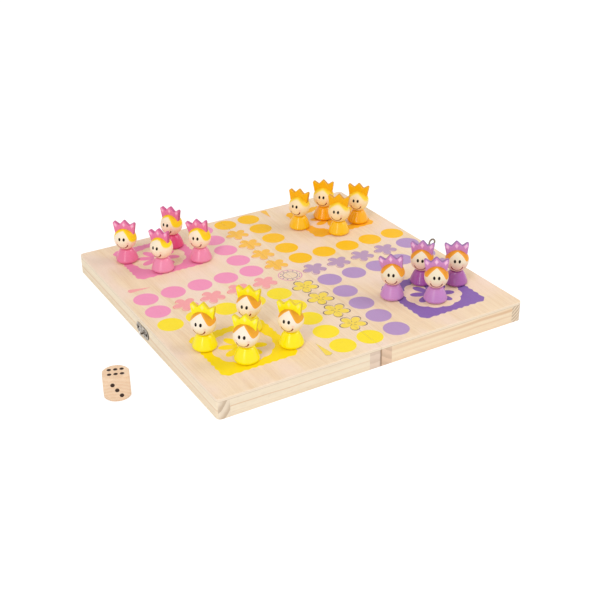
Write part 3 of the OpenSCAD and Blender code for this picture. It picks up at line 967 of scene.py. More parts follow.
def ring_skin(rings: np.ndarray, wrap: bool = False) -> Skin:
    """Joins a stack of rings into a closed skin.

    Each ring is a loop of points. Quads join ring k to ring k + 1 and point i to point i + 1, and each
    end is closed to its ring's mean point. With wrap the last ring is joined to the first instead.

    Args:
        rings: Points as (rings, points in a ring, 3).
        wrap: Whether the stack closes on itself.

    Returns:
        The skin, facing outwards.
    """
    count, around = rings.shape[:2]
    index = np.arange(count * around).reshape(count, around)
    lower = index if wrap else index[:-1]
    upper = np.roll(index, -1, axis=0) if wrap else index[1:]
    quads = np.stack([lower, np.roll(lower, -1, 1), np.roll(upper, -1, 1), upper], -1)
    faces = quads.reshape(-1, 4).tolist()
    points = rings.reshape(-1, 3)
    if not wrap:
        start, end = index[0], index[-1]
        low, high = np.full(around, count * around), np.full(around, count * around + 1)
        faces += np.stack([np.roll(start, -1), start, low], -1).tolist()
        faces += np.stack([end, np.roll(end, -1), high], -1).tolist()
        points = np.vstack([points, rings[0].mean(0), rings[-1].mean(0)])
    return Skin(points, faces).outward()


def turned(profile: np.ndarray, around: int = 96) -> Skin:
    """A turned shape: each point (r, z) of the profile becomes (r cos a, r sin a, z) for a full turn of a.

    Args:
        profile: Radius and height of each point, from the foot up.
        around: Points in a turn.

    Returns:
        The skin.
    """
    turn = np.linspace(0, 2 * math.pi, around, endpoint=False)
    radius, height = profile[:, :1], profile[:, 1:]
    rings = np.stack([radius * np.cos(turn), radius * np.sin(turn), height + 0 * turn], -1)
    return ring_skin(rings)


def slab(outline: np.ndarray, low: float, high: float) -> Skin:
    """A flat slab: the outline's loop carried straight up from one height to another, closed at both.

    Args:
        outline: The loop's points (n, 2).
        low: Height of the underside.
        high: Height of the top.

    Returns:
        The skin, with flat faces.
    """
    count = len(outline)
    loop = np.arange(count)
    following = np.roll(loop, -1)
    sides = np.stack([loop, following, following + count, loop + count], -1).tolist()
    points = np.vstack([np.column_stack([outline, np.full(count, z)]) for z in (low, high)])
    faces = sides + [loop[::-1].tolist(), (loop + count).tolist()]
    return Skin(points, faces, smooth=False).outward()


def band(inner: np.ndarray, outer: np.ndarray, low: float, high: float) -> Skin:
    """A flat band between two loops of as many points, whose four edges are the rings of a closed stack.

    Args:
        inner: The inner loop.
        outer: The outer loop.
        low: Height of the underside.
        high: Height of the top.

    Returns:
        The skin, with flat faces.
    """
    edges = [(inner, low), (outer, low), (outer, high), (inner, high)]
    rings = np.stack([np.column_stack([loop, np.full(len(loop), z)]) for loop, z in edges])
    skin = ring_skin(rings, wrap=True)
    skin.smooth = False
    return skin


def petalled(middle: tuple[float, float], reach: float, petals: int, valley: float, turn: float = 0.0,
             around: int = 160, fullness: float = 0.7) -> np.ndarray:
    """A flower's loop: the radius is reach times (valley + (1 - valley) |cos(petals a / 2)| ^ fullness).

    Args:
        middle: The flower's middle.
        reach: Radius at the petals' tips.
        petals: How many petals it has.
        valley: Radius between petals, as a share of reach.
        turn: Angle of the first petal, in radians.
        around: Points in the loop.
        fullness: How pointed the petals are: 1 is a plain cosine and less is fuller.

    Returns:
        The loop's points (around, 2).
    """
    angle = np.linspace(0, 2 * math.pi, around, endpoint=False)
    swell = np.abs(np.cos(petals * angle / 2)) ** fullness
    radius = reach * (valley + (1 - valley) * swell)
    return np.column_stack([
        middle[0] + radius * np.cos(angle + turn),
        middle[1] + radius * np.sin(angle + turn),
    ])


def disc(middle: tuple[float, float], radius: float, around: int = 160) -> np.ndarray:
    """A round loop: a flower whose valleys reach as far out as its petals."""
    return petalled(middle, radius, 1, 1.0, around=around)


def cut_at(loop: np.ndarray, limit: float, side: int) -> np.ndarray | None:
    """Cuts a loop with a straight line across X and keeps one side of it.

    The loop crosses the line at two points at most. Both are worked out by straight interpolation and
    put at the ends of the run of kept points.

    Args:
        loop: Points (n, 2).
        limit: Distance of the line from X = 0.
        side: -1 keeps what is left of -limit, 1 what is right of +limit.

    Returns:
        The cut loop, the whole loop, or None where nothing is left.
    """
    depth = side * loop[:, 0] - limit
    kept = depth > 0
    if kept.all():
        return loop
    if not kept.any():
        return None
    first = int(np.flatnonzero(kept & ~np.roll(kept, 1))[0])
    order = np.roll(np.arange(len(loop)), -first)
    points, depth = loop[order], depth[order]
    run = int((depth > 0).argmin())
    ends = []
    for inside, outside in ((run - 1, run), (0, len(loop) - 1)):
        share = depth[inside] / (depth[inside] - depth[outside])
        ends.append(points[inside] + share * (points[outside] - points[inside]))
    return np.vstack([points[:run], ends[0], ends[1]])


def make_piece(name: str, skins: list[Skin], finishes: list[Finish], body: str,
               stands_for: tuple[str, ...] = ()) -> bpy.types.Object:
    """Makes one mesh object from skins, puts it on its body and hides the CAD nodes that it stands for.

    Args:
        name: The piece's name.
        skins: Closed skins in millimetres, in the model's frame.
        finishes: Finishes that the skins number.
        body: The CAD body that carries the piece.
        stands_for: CAD nodes that the piece replaces.

    Returns:
        The object.
    """
    starts = np.cumsum([0] + [len(skin.points) for skin in skins])
    faces = []
    for skin, start in zip(skins, starts):
        faces += [[corner + int(start) for corner in face] for face in skin.faces]
    mesh = bpy.data.meshes.new(name)
    mesh.from_pydata((np.vstack([skin.points for skin in skins]) * MM).tolist(), [], faces)
    numbers = np.concatenate([np.full(len(skin.faces), skin.finish) for skin in skins]).astype(np.int32)
    smooth = np.concatenate([np.full(len(skin.faces), skin.smooth) for skin in skins])
    mesh.polygons.foreach_set("material_index", numbers)
    mesh.polygons.foreach_set("use_smooth", smooth)
    for key in skins[0].carried:
        values = np.concatenate([skin.carried[key] for skin in skins]).astype(np.float32)
        kind, member = ("FLOAT_VECTOR", "vector") if values.ndim == 2 else ("FLOAT", "value")
        mesh.attributes.new(key, kind, "POINT").data.foreach_set(member, values.ravel())
    for finish in finishes:
        mesh.materials.append(finish.material())
    mesh.update()
    piece = bpy.data.objects.new(name, mesh)
    bpy.context.scene.collection.objects.link(piece)
    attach(piece, body)
    if stands_for:
        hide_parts(*stands_for)
    LOG.info("%s: %d points, %d faces, on %s", name, len(mesh.vertices), len(faces), body)
    return piece


def dress_node(node: str, finish: Finish) -> None:
    """Gives a CAD node a finish in place of the plain one that it came with.

    Args:
        node: The node's name.
        finish: Its finish.
    """
    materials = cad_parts[node].data.materials
    materials.clear()
    materials.append(finish.material())
    LOG.info("%s: dressed in %s", node, finish.name)


# ---- Sub-assemblies ----


@dataclass
class Box:
    """The two hollow wooden halves. Each long wall is sawn from its own board, with its pith beside it."""

    veneer: Veneer = Veneer("panel_veneer")
    short_walls: dict[str, WallWood] = field(default_factory=lambda: {
        "left": WallWood("left_end_wall_wood", grain=Grain.ACROSS, lines=((8.6, 0.7, 0.6), (3.2, 0.5, 0.2))),
        "right": WallWood("right_end_wall_wood", grain=Grain.ACROSS, light=(253, 233, 203),
                          dark=(243, 213, 178), lines=((12.0, 2.2, 0.62), (6.6, 0.7, 0.3))),
    })
    long_walls: tuple[WallWood, ...] = (
        WallWood("left_outer_wall_wood", pith=(-172.0, 36.0), ring=6.6, ring_depth=0.55, end=(246, 228, 204)),
        WallWood("left_fold_wall_wood", pith=(-5.0, 60.0), ring=7.0, ring_depth=0.22, end=(240, 217, 197)),
        WallWood("right_fold_wall_wood", pith=(30.0, 46.0), ring=6.0, ring_depth=0.3, end=(240, 208, 180)),
        WallWood("right_outer_wall_wood", pith=(112.0, 34.0), ring=2.7, ring_depth=0.75, end=(246, 226, 200)),
    )

    def dress(self) -> None:
        """Gives the panels, the front and back walls and the long walls their wood."""
        for half, wood in self.short_walls.items():
            dress_node(f"{half}_panel", self.veneer)
            for wall in ("front_wall", "back_wall"):
                dress_node(f"{half}_{wall}", wood)
        for wood in self.long_walls:
            dress_node(wood.name.removesuffix("_wood"), wood)


@dataclass
class Fittings:
    """The hinges, the latch and everything that holds them."""

    plate: Steel = Steel("plated_steel")
    nail: Steel = Steel("nail_steel", light=(74, 62, 54), dark=(34, 26, 22), dull=0.42)
    # The knob's and the tongue's cut colours are the painted shade on their sides.
    knob: Steel = Steel("knob_steel", light=(232, 226, 218), dark=(176, 168, 160), cut=(112, 102, 94))
    tongue: Steel = Steel("tongue_steel", light=(176, 164, 152), dark=(126, 114, 104), cut=(108, 96, 86))
    sheet: tuple[str, ...] = (
        "front_hinge_left_leaf", "front_hinge_right_leaf", "back_hinge_left_leaf", "back_hinge_right_leaf",
        "catch_plate", "hasp_plate",
    )
    rods: tuple[str, ...] = (
        "front_hinge_pin", "back_hinge_pin", "left_hinge_screws", "right_hinge_screws", "catch_nails",
        "hasp_nails", "hasp_pin",
    )

    def dress(self) -> None:
        """Plated steel on the sheet parts, dark pins, screws and nails, a bright knob and a worn tongue."""
        for node in self.sheet:
            dress_node(node, self.plate)
        for node in self.rods:
            dress_node(node, self.nail)
        dress_node("catch_knob", self.knob)
        dress_node("hasp_tongue", self.tongue)


class Hue(Enum):
    """The four players' colours."""

    PINK = "pink"
    YELLOW = "yellow"
    AMBER = "amber"
    PURPLE = "purple"


@dataclass
class Layer:
    """One printed colour: whole shapes, and bands between an inner and an outer loop."""

    name: str
    ink: Ink
    shapes: list[np.ndarray] = field(default_factory=list)
    bands: list[Band] = field(default_factory=list)
    level: int = 0


@dataclass
class Print:
    """The print on the playing face, in cells from the board's middle, as thin films of ink.

    In millimetres, a film starts a little under the face, at sink, and its top is one to three times
    film over it. The print lies off the board's middle by shift and stops at cut from the fold.
    """

    cell: float = CELL
    face_z: float = FACE_Z
    film: float = 0.03
    sink: float = 0.01
    shift: tuple[float, float] = (1.2, 1.7)
    cut: float = 0.1
    disc_r: float = 0.425
    flower_r: float = 0.43
    flower_valley: float = 0.42
    rim_in: float = 0.03
    rim_out: float = 0.012
    rim_valley: float = 0.44
    yellow_rim: float = 1.1
    yard: float = 2.6
    scallop: float = 0.016
    window_r: float = 0.93
    window_lobe: float = 0.075
    bloom_r: float = 0.76
    bloom_valley: float = 0.34
    eye_r: float = 0.17
    eye_valley: float = 0.8
    dot_r: float = 0.11
    spike_half: float = 0.12
    spike_notch: float = 0.08
    spike_rim: tuple[float, float] = (0.16, 0.04)
    stroke_run: tuple[float, float] = (0.07, 0.17)
    stroke_half: float = 0.009
    roundel_rings: tuple[tuple[float, float], ...] = ((0.395, 0.425), (0.245, 0.27))
    roundel_r: float = 0.2
    roundel_valley: float = 0.4
    bead_reach: float = 0.335
    bead_r: float = 0.03
    discs: dict[Hue, Colour] = field(default_factory=lambda: {
        Hue.PINK: (246, 152, 190), Hue.YELLOW: (255, 228, 44),
        Hue.AMBER: (255, 196, 28), Hue.PURPLE: (184, 150, 198),
    })
    flowers: dict[Hue, Colour] = field(default_factory=lambda: {
        Hue.PINK: (249, 166, 168), Hue.YELLOW: (249, 218, 84),
        Hue.AMBER: (253, 194, 78), Hue.PURPLE: (190, 156, 188),
    })
    yards: dict[Hue, Colour] = field(default_factory=lambda: {
        Hue.PINK: (240, 138, 180), Hue.YELLOW: (255, 224, 6),
        Hue.AMBER: (254, 186, 34), Hue.PURPLE: (140, 104, 178),
    })
    rims: dict[Hue, Colour] = field(default_factory=lambda: {
        Hue.PINK: (244, 150, 140), Hue.YELLOW: (132, 106, 104),
        Hue.AMBER: (240, 160, 96), Hue.PURPLE: (190, 140, 160),
    })
    rim_shift: dict[Hue, tuple[float, float]] = field(default_factory=lambda: {
        Hue.PINK: (-0.04, -0.045), Hue.YELLOW: (0.012, 0.012),
        Hue.AMBER: (-0.04, -0.045), Hue.PURPLE: (-0.05, -0.03),
    })

    def arms(self, hue: Hue) -> list[tuple[int, int]]:
        """The cells of a colour's ten track discs.

        Args:
            hue: The colour.

        Returns:
            Cells (x, y).
        """
        quarter = {
            Hue.YELLOW: [(-i, -1) for i in range(1, 6)] + [(-1, -i) for i in range(2, 6)] + [(0, -5)],
            Hue.PURPLE: [(1, -i) for i in range(1, 6)] + [(i, -1) for i in range(2, 6)] + [(5, 0)],
            Hue.AMBER: [(i, 1) for i in range(1, 6)] + [(1, i) for i in range(2, 6)] + [(0, 5)],
            Hue.PINK: [(-1, i) for i in range(1, 6)] + [(-i, 1) for i in range(2, 6)] + [(-5, 0)],
        }
        return quarter[hue]

    def home(self, hue: Hue) -> list[tuple[int, int]]:
        """The cells of a colour's four home flowers."""
        step = {Hue.YELLOW: (0, -1), Hue.PURPLE: (1, 0), Hue.AMBER: (0, 1), Hue.PINK: (-1, 0)}[hue]
        return [(step[0] * i, step[1] * i) for i in range(1, 5)]

    def spike(self, hue: Hue) -> np.ndarray:
        """The loop of a colour's slim start arrow, from its base to its tip.

        Args:
            hue: The colour.

        Returns:
            The loop's four points, in cells.
        """
        base, tip = {
            Hue.PINK: ((-5.25, 1.82), (-4.55, 1.73)), Hue.YELLOW: ((-1.64, -5.23), (-1.66, -4.47)),
            Hue.AMBER: ((1.88, 5.40), (1.84, 4.73)), Hue.PURPLE: ((5.3, -1.8), (4.55, -1.75)),
        }[hue]
        start, end = np.array(base), np.array(tip)
        along = end - start
        across = np.array([-along[1], along[0]]) / np.linalg.norm(along) * self.spike_half
        return np.array([start + across, start - along * self.spike_notch, start - across, end])

    def strokes(self, cell: tuple[int, int]) -> list[np.ndarray]:
        """Five short pen strokes between a flower's petals, each a thin loop along its spoke.

        Args:
            cell: The flower's cell.

        Returns:
            The loops, in cells.
        """
        found = []
        for turn in np.linspace(0, 2 * math.pi, 5, endpoint=False):
            along = np.array([math.cos(turn), math.sin(turn)])
            across = np.array([-along[1], along[0]]) * self.stroke_half
            near, far = (np.array(cell) + along * reach for reach in self.stroke_run)
            found.append(np.array([near - across, far - across, far + across, near + across]))
        return found

    def yard_middle(self, hue: Hue) -> tuple[float, float]:
        """The middle of a colour's home yard.

        Args:
            hue: The colour.

        Returns:
            The place, in cells.
        """
        return {
            Hue.PINK: (-3.35, 3.72), Hue.YELLOW: (-3.66, -3.42),
            Hue.AMBER: (3.72, 3.42), Hue.PURPLE: (3.38, -3.7),
        }[hue]

    def rosette(self, hue: Hue) -> tuple[list[np.ndarray], list[Band]]:
        """A home yard: a scalloped square with a round lobed window, and a flower of eight petals in it.

        The square's radius is its half width over the larger of |cos a| and |sin a|, softened by a
        fourteenth-power norm, with a small cosine for its 36 scallops. The window has twelve lobes.

        Args:
            hue: The colour.

        Returns:
            The whole shapes and the bands, in cells.
        """
        middle = np.array(self.yard_middle(hue))
        angle = np.linspace(0, 2 * math.pi, 288, endpoint=False)
        spoke = np.column_stack([np.cos(angle), np.sin(angle)])
        norm = (np.abs(spoke) ** 14).sum(1) ** (1 / 14)
        outer = middle + spoke * (self.yard / 2 / norm * (1 + self.scallop * np.cos(36 * angle)))[:, None]
        lobes = 1 + self.window_lobe * np.abs(np.cos(6 * angle)) ** 0.8
        window = middle + spoke * (self.window_r * lobes)[:, None]
        at = tuple(middle)
        bloom = petalled(at, self.bloom_r, 8, self.bloom_valley, math.pi / 8, around=288, fullness=0.75)
        eye = petalled(at, self.eye_r, 8, self.eye_valley, around=288)
        return [disc(at, self.dot_r, 64)], [(window, outer), (eye, bloom)]

    def outlines(self, hue: Hue, spike: np.ndarray) -> list[Band]:
        """The printed outlines of a colour's home flowers and of its arrow, set a little off their fill.

        The yellow flowers' outlines are drawn wider than their fill.

        Args:
            hue: The colour.
            spike: The loop of its arrow, in cells.

        Returns:
            The bands, in cells.
        """
        off_x, off_y = self.rim_shift[hue]
        reach = self.flower_r * (self.yellow_rim if hue is Hue.YELLOW else 1.0)
        rims = []
        for x, y in self.home(hue):
            at = (x + off_x, y + off_y)
            inside = petalled(at, reach - self.rim_in, 5, self.rim_valley, math.pi)
            rims.append((inside, petalled(at, reach + self.rim_out, 5, self.rim_valley, math.pi)))
        out = spike - spike.mean(0)
        inwards, outwards = self.spike_rim
        rims.append((spike - out * inwards, spike + out * outwards))
        return rims

    def layers(self) -> list[Layer]:
        """Every colour that is printed, lowest first.

        Returns:
            The layers.
        """
        found = []
        for hue in Hue:
            shapes = [disc(cell, self.disc_r, 96) for cell in self.arms(hue)]
            whole, bands = self.rosette(hue)
            ink = Ink(f"{hue.value}_ink", colour=self.discs[hue])
            found.append(Layer(f"{hue.value}_discs", ink, shapes))
            deep = Ink(f"{hue.value}_yard_ink", colour=self.yards[hue])
            found.append(Layer(f"{hue.value}_yard", deep, whole, bands))
            spike = self.spike(hue)
            rim_ink = Ink(f"{hue.value}_rim_ink", colour=self.rims[hue], veil=0.3)
            found.append(Layer(f"{hue.value}_rims", rim_ink, bands=self.outlines(hue, spike)))
            cells = self.home(hue)
            flowers = [petalled(cell, self.flower_r, 5, self.flower_valley, math.pi) for cell in cells]
            light = Ink(f"{hue.value}_flower_ink", colour=self.flowers[hue], veil=0.15)
            found.append(Layer(f"{hue.value}_flowers", light, flowers + [spike], level=1))
            if hue is Hue.YELLOW:
                strokes = [stroke for cell in cells for stroke in self.strokes(cell)]
                found.append(Layer("yellow_strokes", rim_ink, strokes, level=2))
        return found + self.roundel()

    def roundel(self) -> list[Layer]:
        """The ornament in the board's middle: two rings, a ring of beads and a six-petalled flower.

        Returns:
            Its three layers.
        """
        at = (0.0, 0.0)
        spokes = np.linspace(0, 2 * math.pi, 12, endpoint=False) + math.pi / 12
        places = [(self.bead_reach * math.cos(a), self.bead_reach * math.sin(a)) for a in spokes]
        beads = [disc(place, self.bead_r, 16) for place in places]
        outer, inner = ((disc(at, near), disc(at, far)) for near, far in self.roundel_rings)
        flower = petalled(at, self.roundel_r, 6, self.roundel_valley, math.pi / 6)
        pink = Ink("roundel_pink_ink", colour=(226, 140, 186), veil=0.2)
        grey = Ink("roundel_grey_ink", colour=(150, 120, 160), veil=0.2)
        gold = Ink("roundel_gold_ink", colour=(248, 204, 84), veil=0.2)
        return [
            Layer("roundel_rings", pink, bands=[outer]),
            Layer("roundel_line", grey, beads, [inner]),
            Layer("roundel_flower", gold, [flower]),
        ]

    def build(self) -> None:
        """Cuts each layer at the fold and lays its halves on the panels."""
        for layer in self.layers():
            low = self.face_z - self.sink
            high = self.face_z + self.film * (1 + layer.level)
            for side, half in ((-1, "left"), (1, "right")):
                skins = []
                for shape in layer.shapes:
                    loop = cut_at(self.lay(shape), self.cut, side)
                    if loop is not None:
                        skins.append(slab(loop, low, high))
                for inner, outer in layer.bands:
                    skins += self.half_band(self.lay(inner), self.lay(outer), side, low, high)
                if skins:
                    name = f"{layer.name}_{half}"
                    make_piece(name, skins, [layer.ink], f"{half}_half")

    def lay(self, loop: np.ndarray) -> np.ndarray:
        """A loop in cells brought to its place on the board, in millimetres."""
        return loop * self.cell + np.array(self.shift)

    def half_band(self, inner: np.ndarray, outer: np.ndarray, side: int, low: float,
                  high: float) -> list[Skin]:
        """A band on one half: whole where it lies there, or a slab of its kept run if the fold cuts it.

        Args:
            inner: The inner loop, in millimetres.
            outer: The outer loop.
            side: -1 for the left half and 1 for the right.
            low: Height of the underside.
            high: Height of the top.

        Returns:
            One skin, or none where nothing of the band lies there.
        """
        if (side * outer[:, 0] > self.cut).all():
            return [band(inner, outer, low, high)]
        kept = (side * inner[:, 0] > self.cut) & (side * outer[:, 0] > self.cut)
        if not kept.any():
            return []
        first = int(np.flatnonzero(kept & ~np.roll(kept, 1))[0])
        order = np.roll(np.arange(len(kept)), -first)[: int(kept.sum())]
        return [slab(np.vstack([outer[order], inner[order][::-1]]), low, high)]


@dataclass
class Style:
    """How one colour of pawn is painted. A second colour is what the one before it shades to: painted shade,
    with the paint's tone and smudges, the crown's smudges and the hair's streaks mixed in.
    """

    paint: Colour
    deep: Colour
    crown: Colour
    crown_shade_and_smudge: Colour
    gem: Colour
    gem_strength: float
    skin: Colour
    skin_shaded: Colour
    hair: Colour
    hair_shade_and_streak: Colour
    soft: float
    hair_line: tuple[tuple[float, float], ...]


STYLES = {
    Hue.PINK: Style(
        paint=(240, 148, 184), deep=(226, 66, 124), crown=(238, 127, 173), crown_shade_and_smudge=(204, 88, 140),
        gem=(252, 172, 208), gem_strength=0.8, skin=(252, 235, 208), skin_shaded=(255, 224, 196),
        hair=(255, 226, 34), hair_shade_and_streak=(250, 196, 30), soft=6.0,
        hair_line=((-180, 16), (-120, 6), (-82, -4), (-66, 4), (-55, 22), (-45, 38), (-30, 50), (-15, 57),
                   (2, 60), (16, 55), (27, 48), (35, 32), (42, 18), (54, 9), (76, 6), (100, 10), (180, 16)),
    ),
    Hue.YELLOW: Style(
        paint=(255, 242, 0), deep=(240, 204, 0), crown=(255, 244, 16), crown_shade_and_smudge=(232, 200, 20),
        gem=(255, 246, 150), gem_strength=0.3, skin=(251, 238, 218), skin_shaded=(252, 226, 166),
        hair=(247, 174, 56), hair_shade_and_streak=(228, 156, 38), soft=1.6,
        hair_line=((-180, 12), (-90, 10), (-62, 15), (-52, 20), (-46, 27), (-37, 40), (-26, 55), (-12, 65),
                   (0, 69), (10, 64), (20, 54), (29, 41), (35, 29), (41, 17), (47, 9), (55, 6), (70, 8),
                   (100, 12), (180, 12)),
    ),
    Hue.AMBER: Style(
        paint=(255, 203, 8), deep=(246, 152, 0), crown=(255, 190, 0), crown_shade_and_smudge=(220, 150, 6),
        gem=(255, 200, 60), gem_strength=0.0, skin=(252, 230, 190), skin_shaded=(255, 230, 164),
        hair=(254, 222, 66), hair_shade_and_streak=(249, 192, 16), soft=11.0,
        hair_line=((-180, 8), (-90, 9), (-60, 14), (-40, 33), (-20, 48), (0, 56), (14, 54), (28, 43),
                   (40, 28), (52, 14), (68, 7), (100, 6), (180, 8)),
    ),
    Hue.PURPLE: Style(
        paint=(208, 146, 208), deep=(162, 76, 160), crown=(210, 140, 200), crown_shade_and_smudge=(152, 100, 160),
        gem=(246, 190, 234), gem_strength=0.9, skin=(242, 229, 202), skin_shaded=(254, 214, 190),
        hair=(248, 170, 52), hair_shade_and_streak=(228, 144, 40), soft=1.8,
        hair_line=((-180, 14), (-90, 12), (-62, 8), (-50, 12), (-43, 23), (-37, 34), (-30, 44), (-20, 54),
                   (0, 65), (18, 56), (29, 45), (36, 34), (42, 21), (48, 10), (56, 5), (75, 8), (100, 12),
                   (180, 14)),
    ),
}


@dataclass
class Pawn:
    """One crowned pawn: a turned skirt, a ball and a crown board. Its front is -Y before it is turned.

    Its place is in cells from the board's middle, and turn, lean and lock are in degrees. Tone runs from 0,
    pale paint and skin, to 1, deep ones. The sole stands clear of the print by a hair's breadth. A row of
    crown gives a corner's place, across and over the ball's middle, and the radius that rounds it.
    """

    name: str
    x: float
    y: float
    turn: float
    lean: float = 0.0
    tone: float = 0.0
    lock: float = 0.0
    clear: float = 0.04
    cell: float = CELL
    face_z: float = FACE_Z
    foot_r: float = 9.9
    foot_round: float = 2.5
    skirt_h: float = 12.6
    neck_r: float = 4.2
    skirt_flare: float = 0.55
    sole_rings: tuple[float, float] = (2.0, 5.0)
    lid_rings: tuple[float, float] = (4.0, 1.5)
    ball_r: float = 10.0
    ball_z: float = BALL_Z
    seat_r: float = 2.0
    pole: float = 88.5
    crown_t: float = 4.0
    crown_edge: float = 0.6
    crown_rings: tuple[float, float] = (0.35, 0.75)
    crown_heart: tuple[float, float] = (0.0, 5.0)
    crown: tuple[tuple[float, float, float], ...] = (
        (8.6, 3.0, 0.5), (8.6, 5.1, 0.5), (10.6, 17.0, 1.3), (4.5, 12.9, 0.8), (0.0, 17.7, 1.3),
        (-4.5, 12.9, 0.8), (-10.6, 17.0, 1.3), (-8.6, 5.1, 0.5), (-8.6, 3.0, 0.5),
    )

    def hue(self) -> Hue:
        """The pawn's colour, which its name starts with."""
        return Hue(self.name.split("_")[0])

    def stand(self, skin: Skin) -> Skin:
        """Turns a skin and stands it on the board. Its own points go along as "place" unless it has some.

        Args:
            skin: The skin, in the pawn's own frame.

        Returns:
            The same skin, in the model's frame.
        """
        angle = math.radians(self.turn)
        x, y, z = skin.points.T
        skin.carried.setdefault("place", skin.points.copy())
        skin.carried["tone"] = np.full(len(skin.points), self.tone)
        skin.carried["lock"] = np.full(len(skin.points), self.lock)
        skin.points = np.column_stack([
            x * math.cos(angle) - y * math.sin(angle) + self.x * self.cell,
            x * math.sin(angle) + y * math.cos(angle) + self.y * self.cell,
            z + self.face_z,
        ])
        return skin

    def skirt(self) -> Skin:
        """The turned skirt: a quarter round at the foot, then a flare that narrows by a power of the height.

        Returns:
            The skin, in the pawn's own frame.
        """
        step = np.linspace(-90, 0, 9)[:, None] * math.pi / 180
        foot = np.hstack([
            self.foot_r - self.foot_round * (1 - np.cos(step)),
            self.clear + (self.foot_round - self.clear) * (1 + np.sin(step)),
        ])
        share = np.linspace(0, 1, 29)[1:, None]
        flare = np.hstack([
            self.neck_r + (self.foot_r - self.neck_r) * (1 - share) ** self.skirt_flare,
            self.foot_round + (self.skirt_h - self.foot_round) * share,
        ])
        sole = np.array([[radius, self.clear] for radius in self.sole_rings])
        lid = np.array([[radius, self.skirt_h] for radius in self.lid_rings])
        return turned(np.vstack([sole, foot, flare, lid]))

    def ball(self) -> Skin:
        """The ball, a half circle carried round, cut flat where it sits on the neck.

        Returns:
            The skin, in the pawn's own frame.
        """
        low = -math.asin((self.ball_z - self.skirt_h) / self.ball_r)
        rise = np.linspace(low, math.radians(self.pole), 72)[:, None]
        profile = np.hstack([self.ball_r * np.cos(rise), self.ball_z + self.ball_r * np.sin(rise)])
        seat = np.array([[self.seat_r, self.skirt_h]])
        return turned(np.vstack([seat, profile]), 128)

    def crown_loop(self) -> np.ndarray:
        """The crown's outline seen from the front, in even steps of about 0.2 mm.

        Each corner becomes an arc of its own radius: its centre lies on the corner's bisector at the
        radius over the sine of the half angle, and the arc turns from one edge's direction to the next.

        Returns:
            The outline's points (360, 2), from the ball's middle.
        """
        corners, radii = np.array(self.crown)[:, :2], np.array(self.crown)[:, 2:]
        ahead = np.roll(corners, -1, axis=0) - corners
        ahead /= np.linalg.norm(ahead, axis=1)[:, None]
        behind = -np.roll(ahead, 1, axis=0)
        half_sum = ahead + behind
        bisector = half_sum / np.linalg.norm(half_sum, axis=1)[:, None]
        half_sine = np.linalg.norm(ahead - behind, axis=1)[:, None] / 2
        centres = corners + bisector * radii / half_sine
        half_turn = np.arccos(np.clip(half_sine, -1, 1))[:, 0]
        side = np.sign(ahead[:, 0] * bisector[:, 1] - ahead[:, 1] * bisector[:, 0])
        middle = np.arctan2(-bisector[:, 1], -bisector[:, 0])
        angle = middle[:, None] + (side * half_turn)[:, None] * np.linspace(-1, 1, 13)
        arcs = centres[:, None] + radii[:, None] * np.stack([np.cos(angle), np.sin(angle)], -1)
        loop = arcs.reshape(-1, 2)
        closed = np.vstack([loop, loop[:1]])
        reach = np.concatenate([[0], np.cumsum(np.linalg.norm(np.diff(closed, axis=0), axis=1))])
        steps = np.linspace(0, reach[-1], 360, endpoint=False)
        return np.column_stack([np.interp(steps, reach, closed[:, 0]), np.interp(steps, reach, closed[:, 1])])

    def crown_board(self) -> Skin:
        """The crown: its outline carried from front to back, drawn in by a quarter round at both faces.

        Each ring is scaled about the crown's heart, drawn in by a share of the edge and put at a depth,
        and two small ones close each face. The crown leans to one side, turned about the ball's middle.

        Returns:
            The skin, in the pawn's own frame.
        """
        loop = self.crown_loop()
        along = np.roll(loop, -1, axis=0) - np.roll(loop, 1, axis=0)
        inward = np.column_stack([-along[:, 1], along[:, 0]]) / np.linalg.norm(along, axis=1)[:, None]
        heart = np.array(self.crown_heart)
        half = self.crown_t / 2
        rings = [(scale, 1.0, -half) for scale in self.crown_rings]
        for step in np.linspace(90, 0, 6) * math.pi / 180:
            rings.append((1.0, 1 - math.cos(step), -half + self.crown_edge * (1 - math.sin(step))))
        rings += [(scale, inset, -y) for scale, inset, y in reversed(rings)]
        stack = []
        for scale, inset, y in rings:
            flat = heart + scale * (loop + inward * self.crown_edge * inset - heart)
            stack.append(np.column_stack([flat[:, 0], np.full(len(flat), y), flat[:, 1] + self.ball_z]))
        board = ring_skin(np.array(stack))
        board.carried = {"place": board.points.copy()}
        middle = np.array([0.0, 0.0, self.ball_z])
        lean = np.array(Matrix.Rotation(math.radians(self.lean), 3, "Y"))
        board.points = (board.points - middle) @ lean.T + middle
        return board

    def build(self) -> None:
        """Makes the body and the head, which is the ball with the crown in it."""
        hue = self.hue()
        style = STYLES[hue]
        lacquer = Lacquer(f"{hue.value}_lacquer", colour=style.paint, deep=style.deep)
        head = Head(f"{hue.value}_head_paint", hair=style.hair, hair_shade_and_streak=style.hair_shade_and_streak, skin=style.skin,
                    skin_shaded=style.skin_shaded, hair_line=style.hair_line, soft=style.soft, middle=self.ball_z)
        crown = Crown(f"{hue.value}_crown_paint", colour=style.crown, deep=style.crown_shade_and_smudge, gem=style.gem,
                      gem_strength=style.gem_strength, middle=self.ball_z)
        make_piece(f"{self.name}_skirt", [self.stand(self.skirt())], [lacquer], self.name,
                   (f"{self.name}_body",))
        board = self.stand(self.crown_board())
        board.finish = 1
        make_piece(f"{self.name}_face", [self.stand(self.ball()), board], [head, crown], self.name,
                   (f"{self.name}_head",))


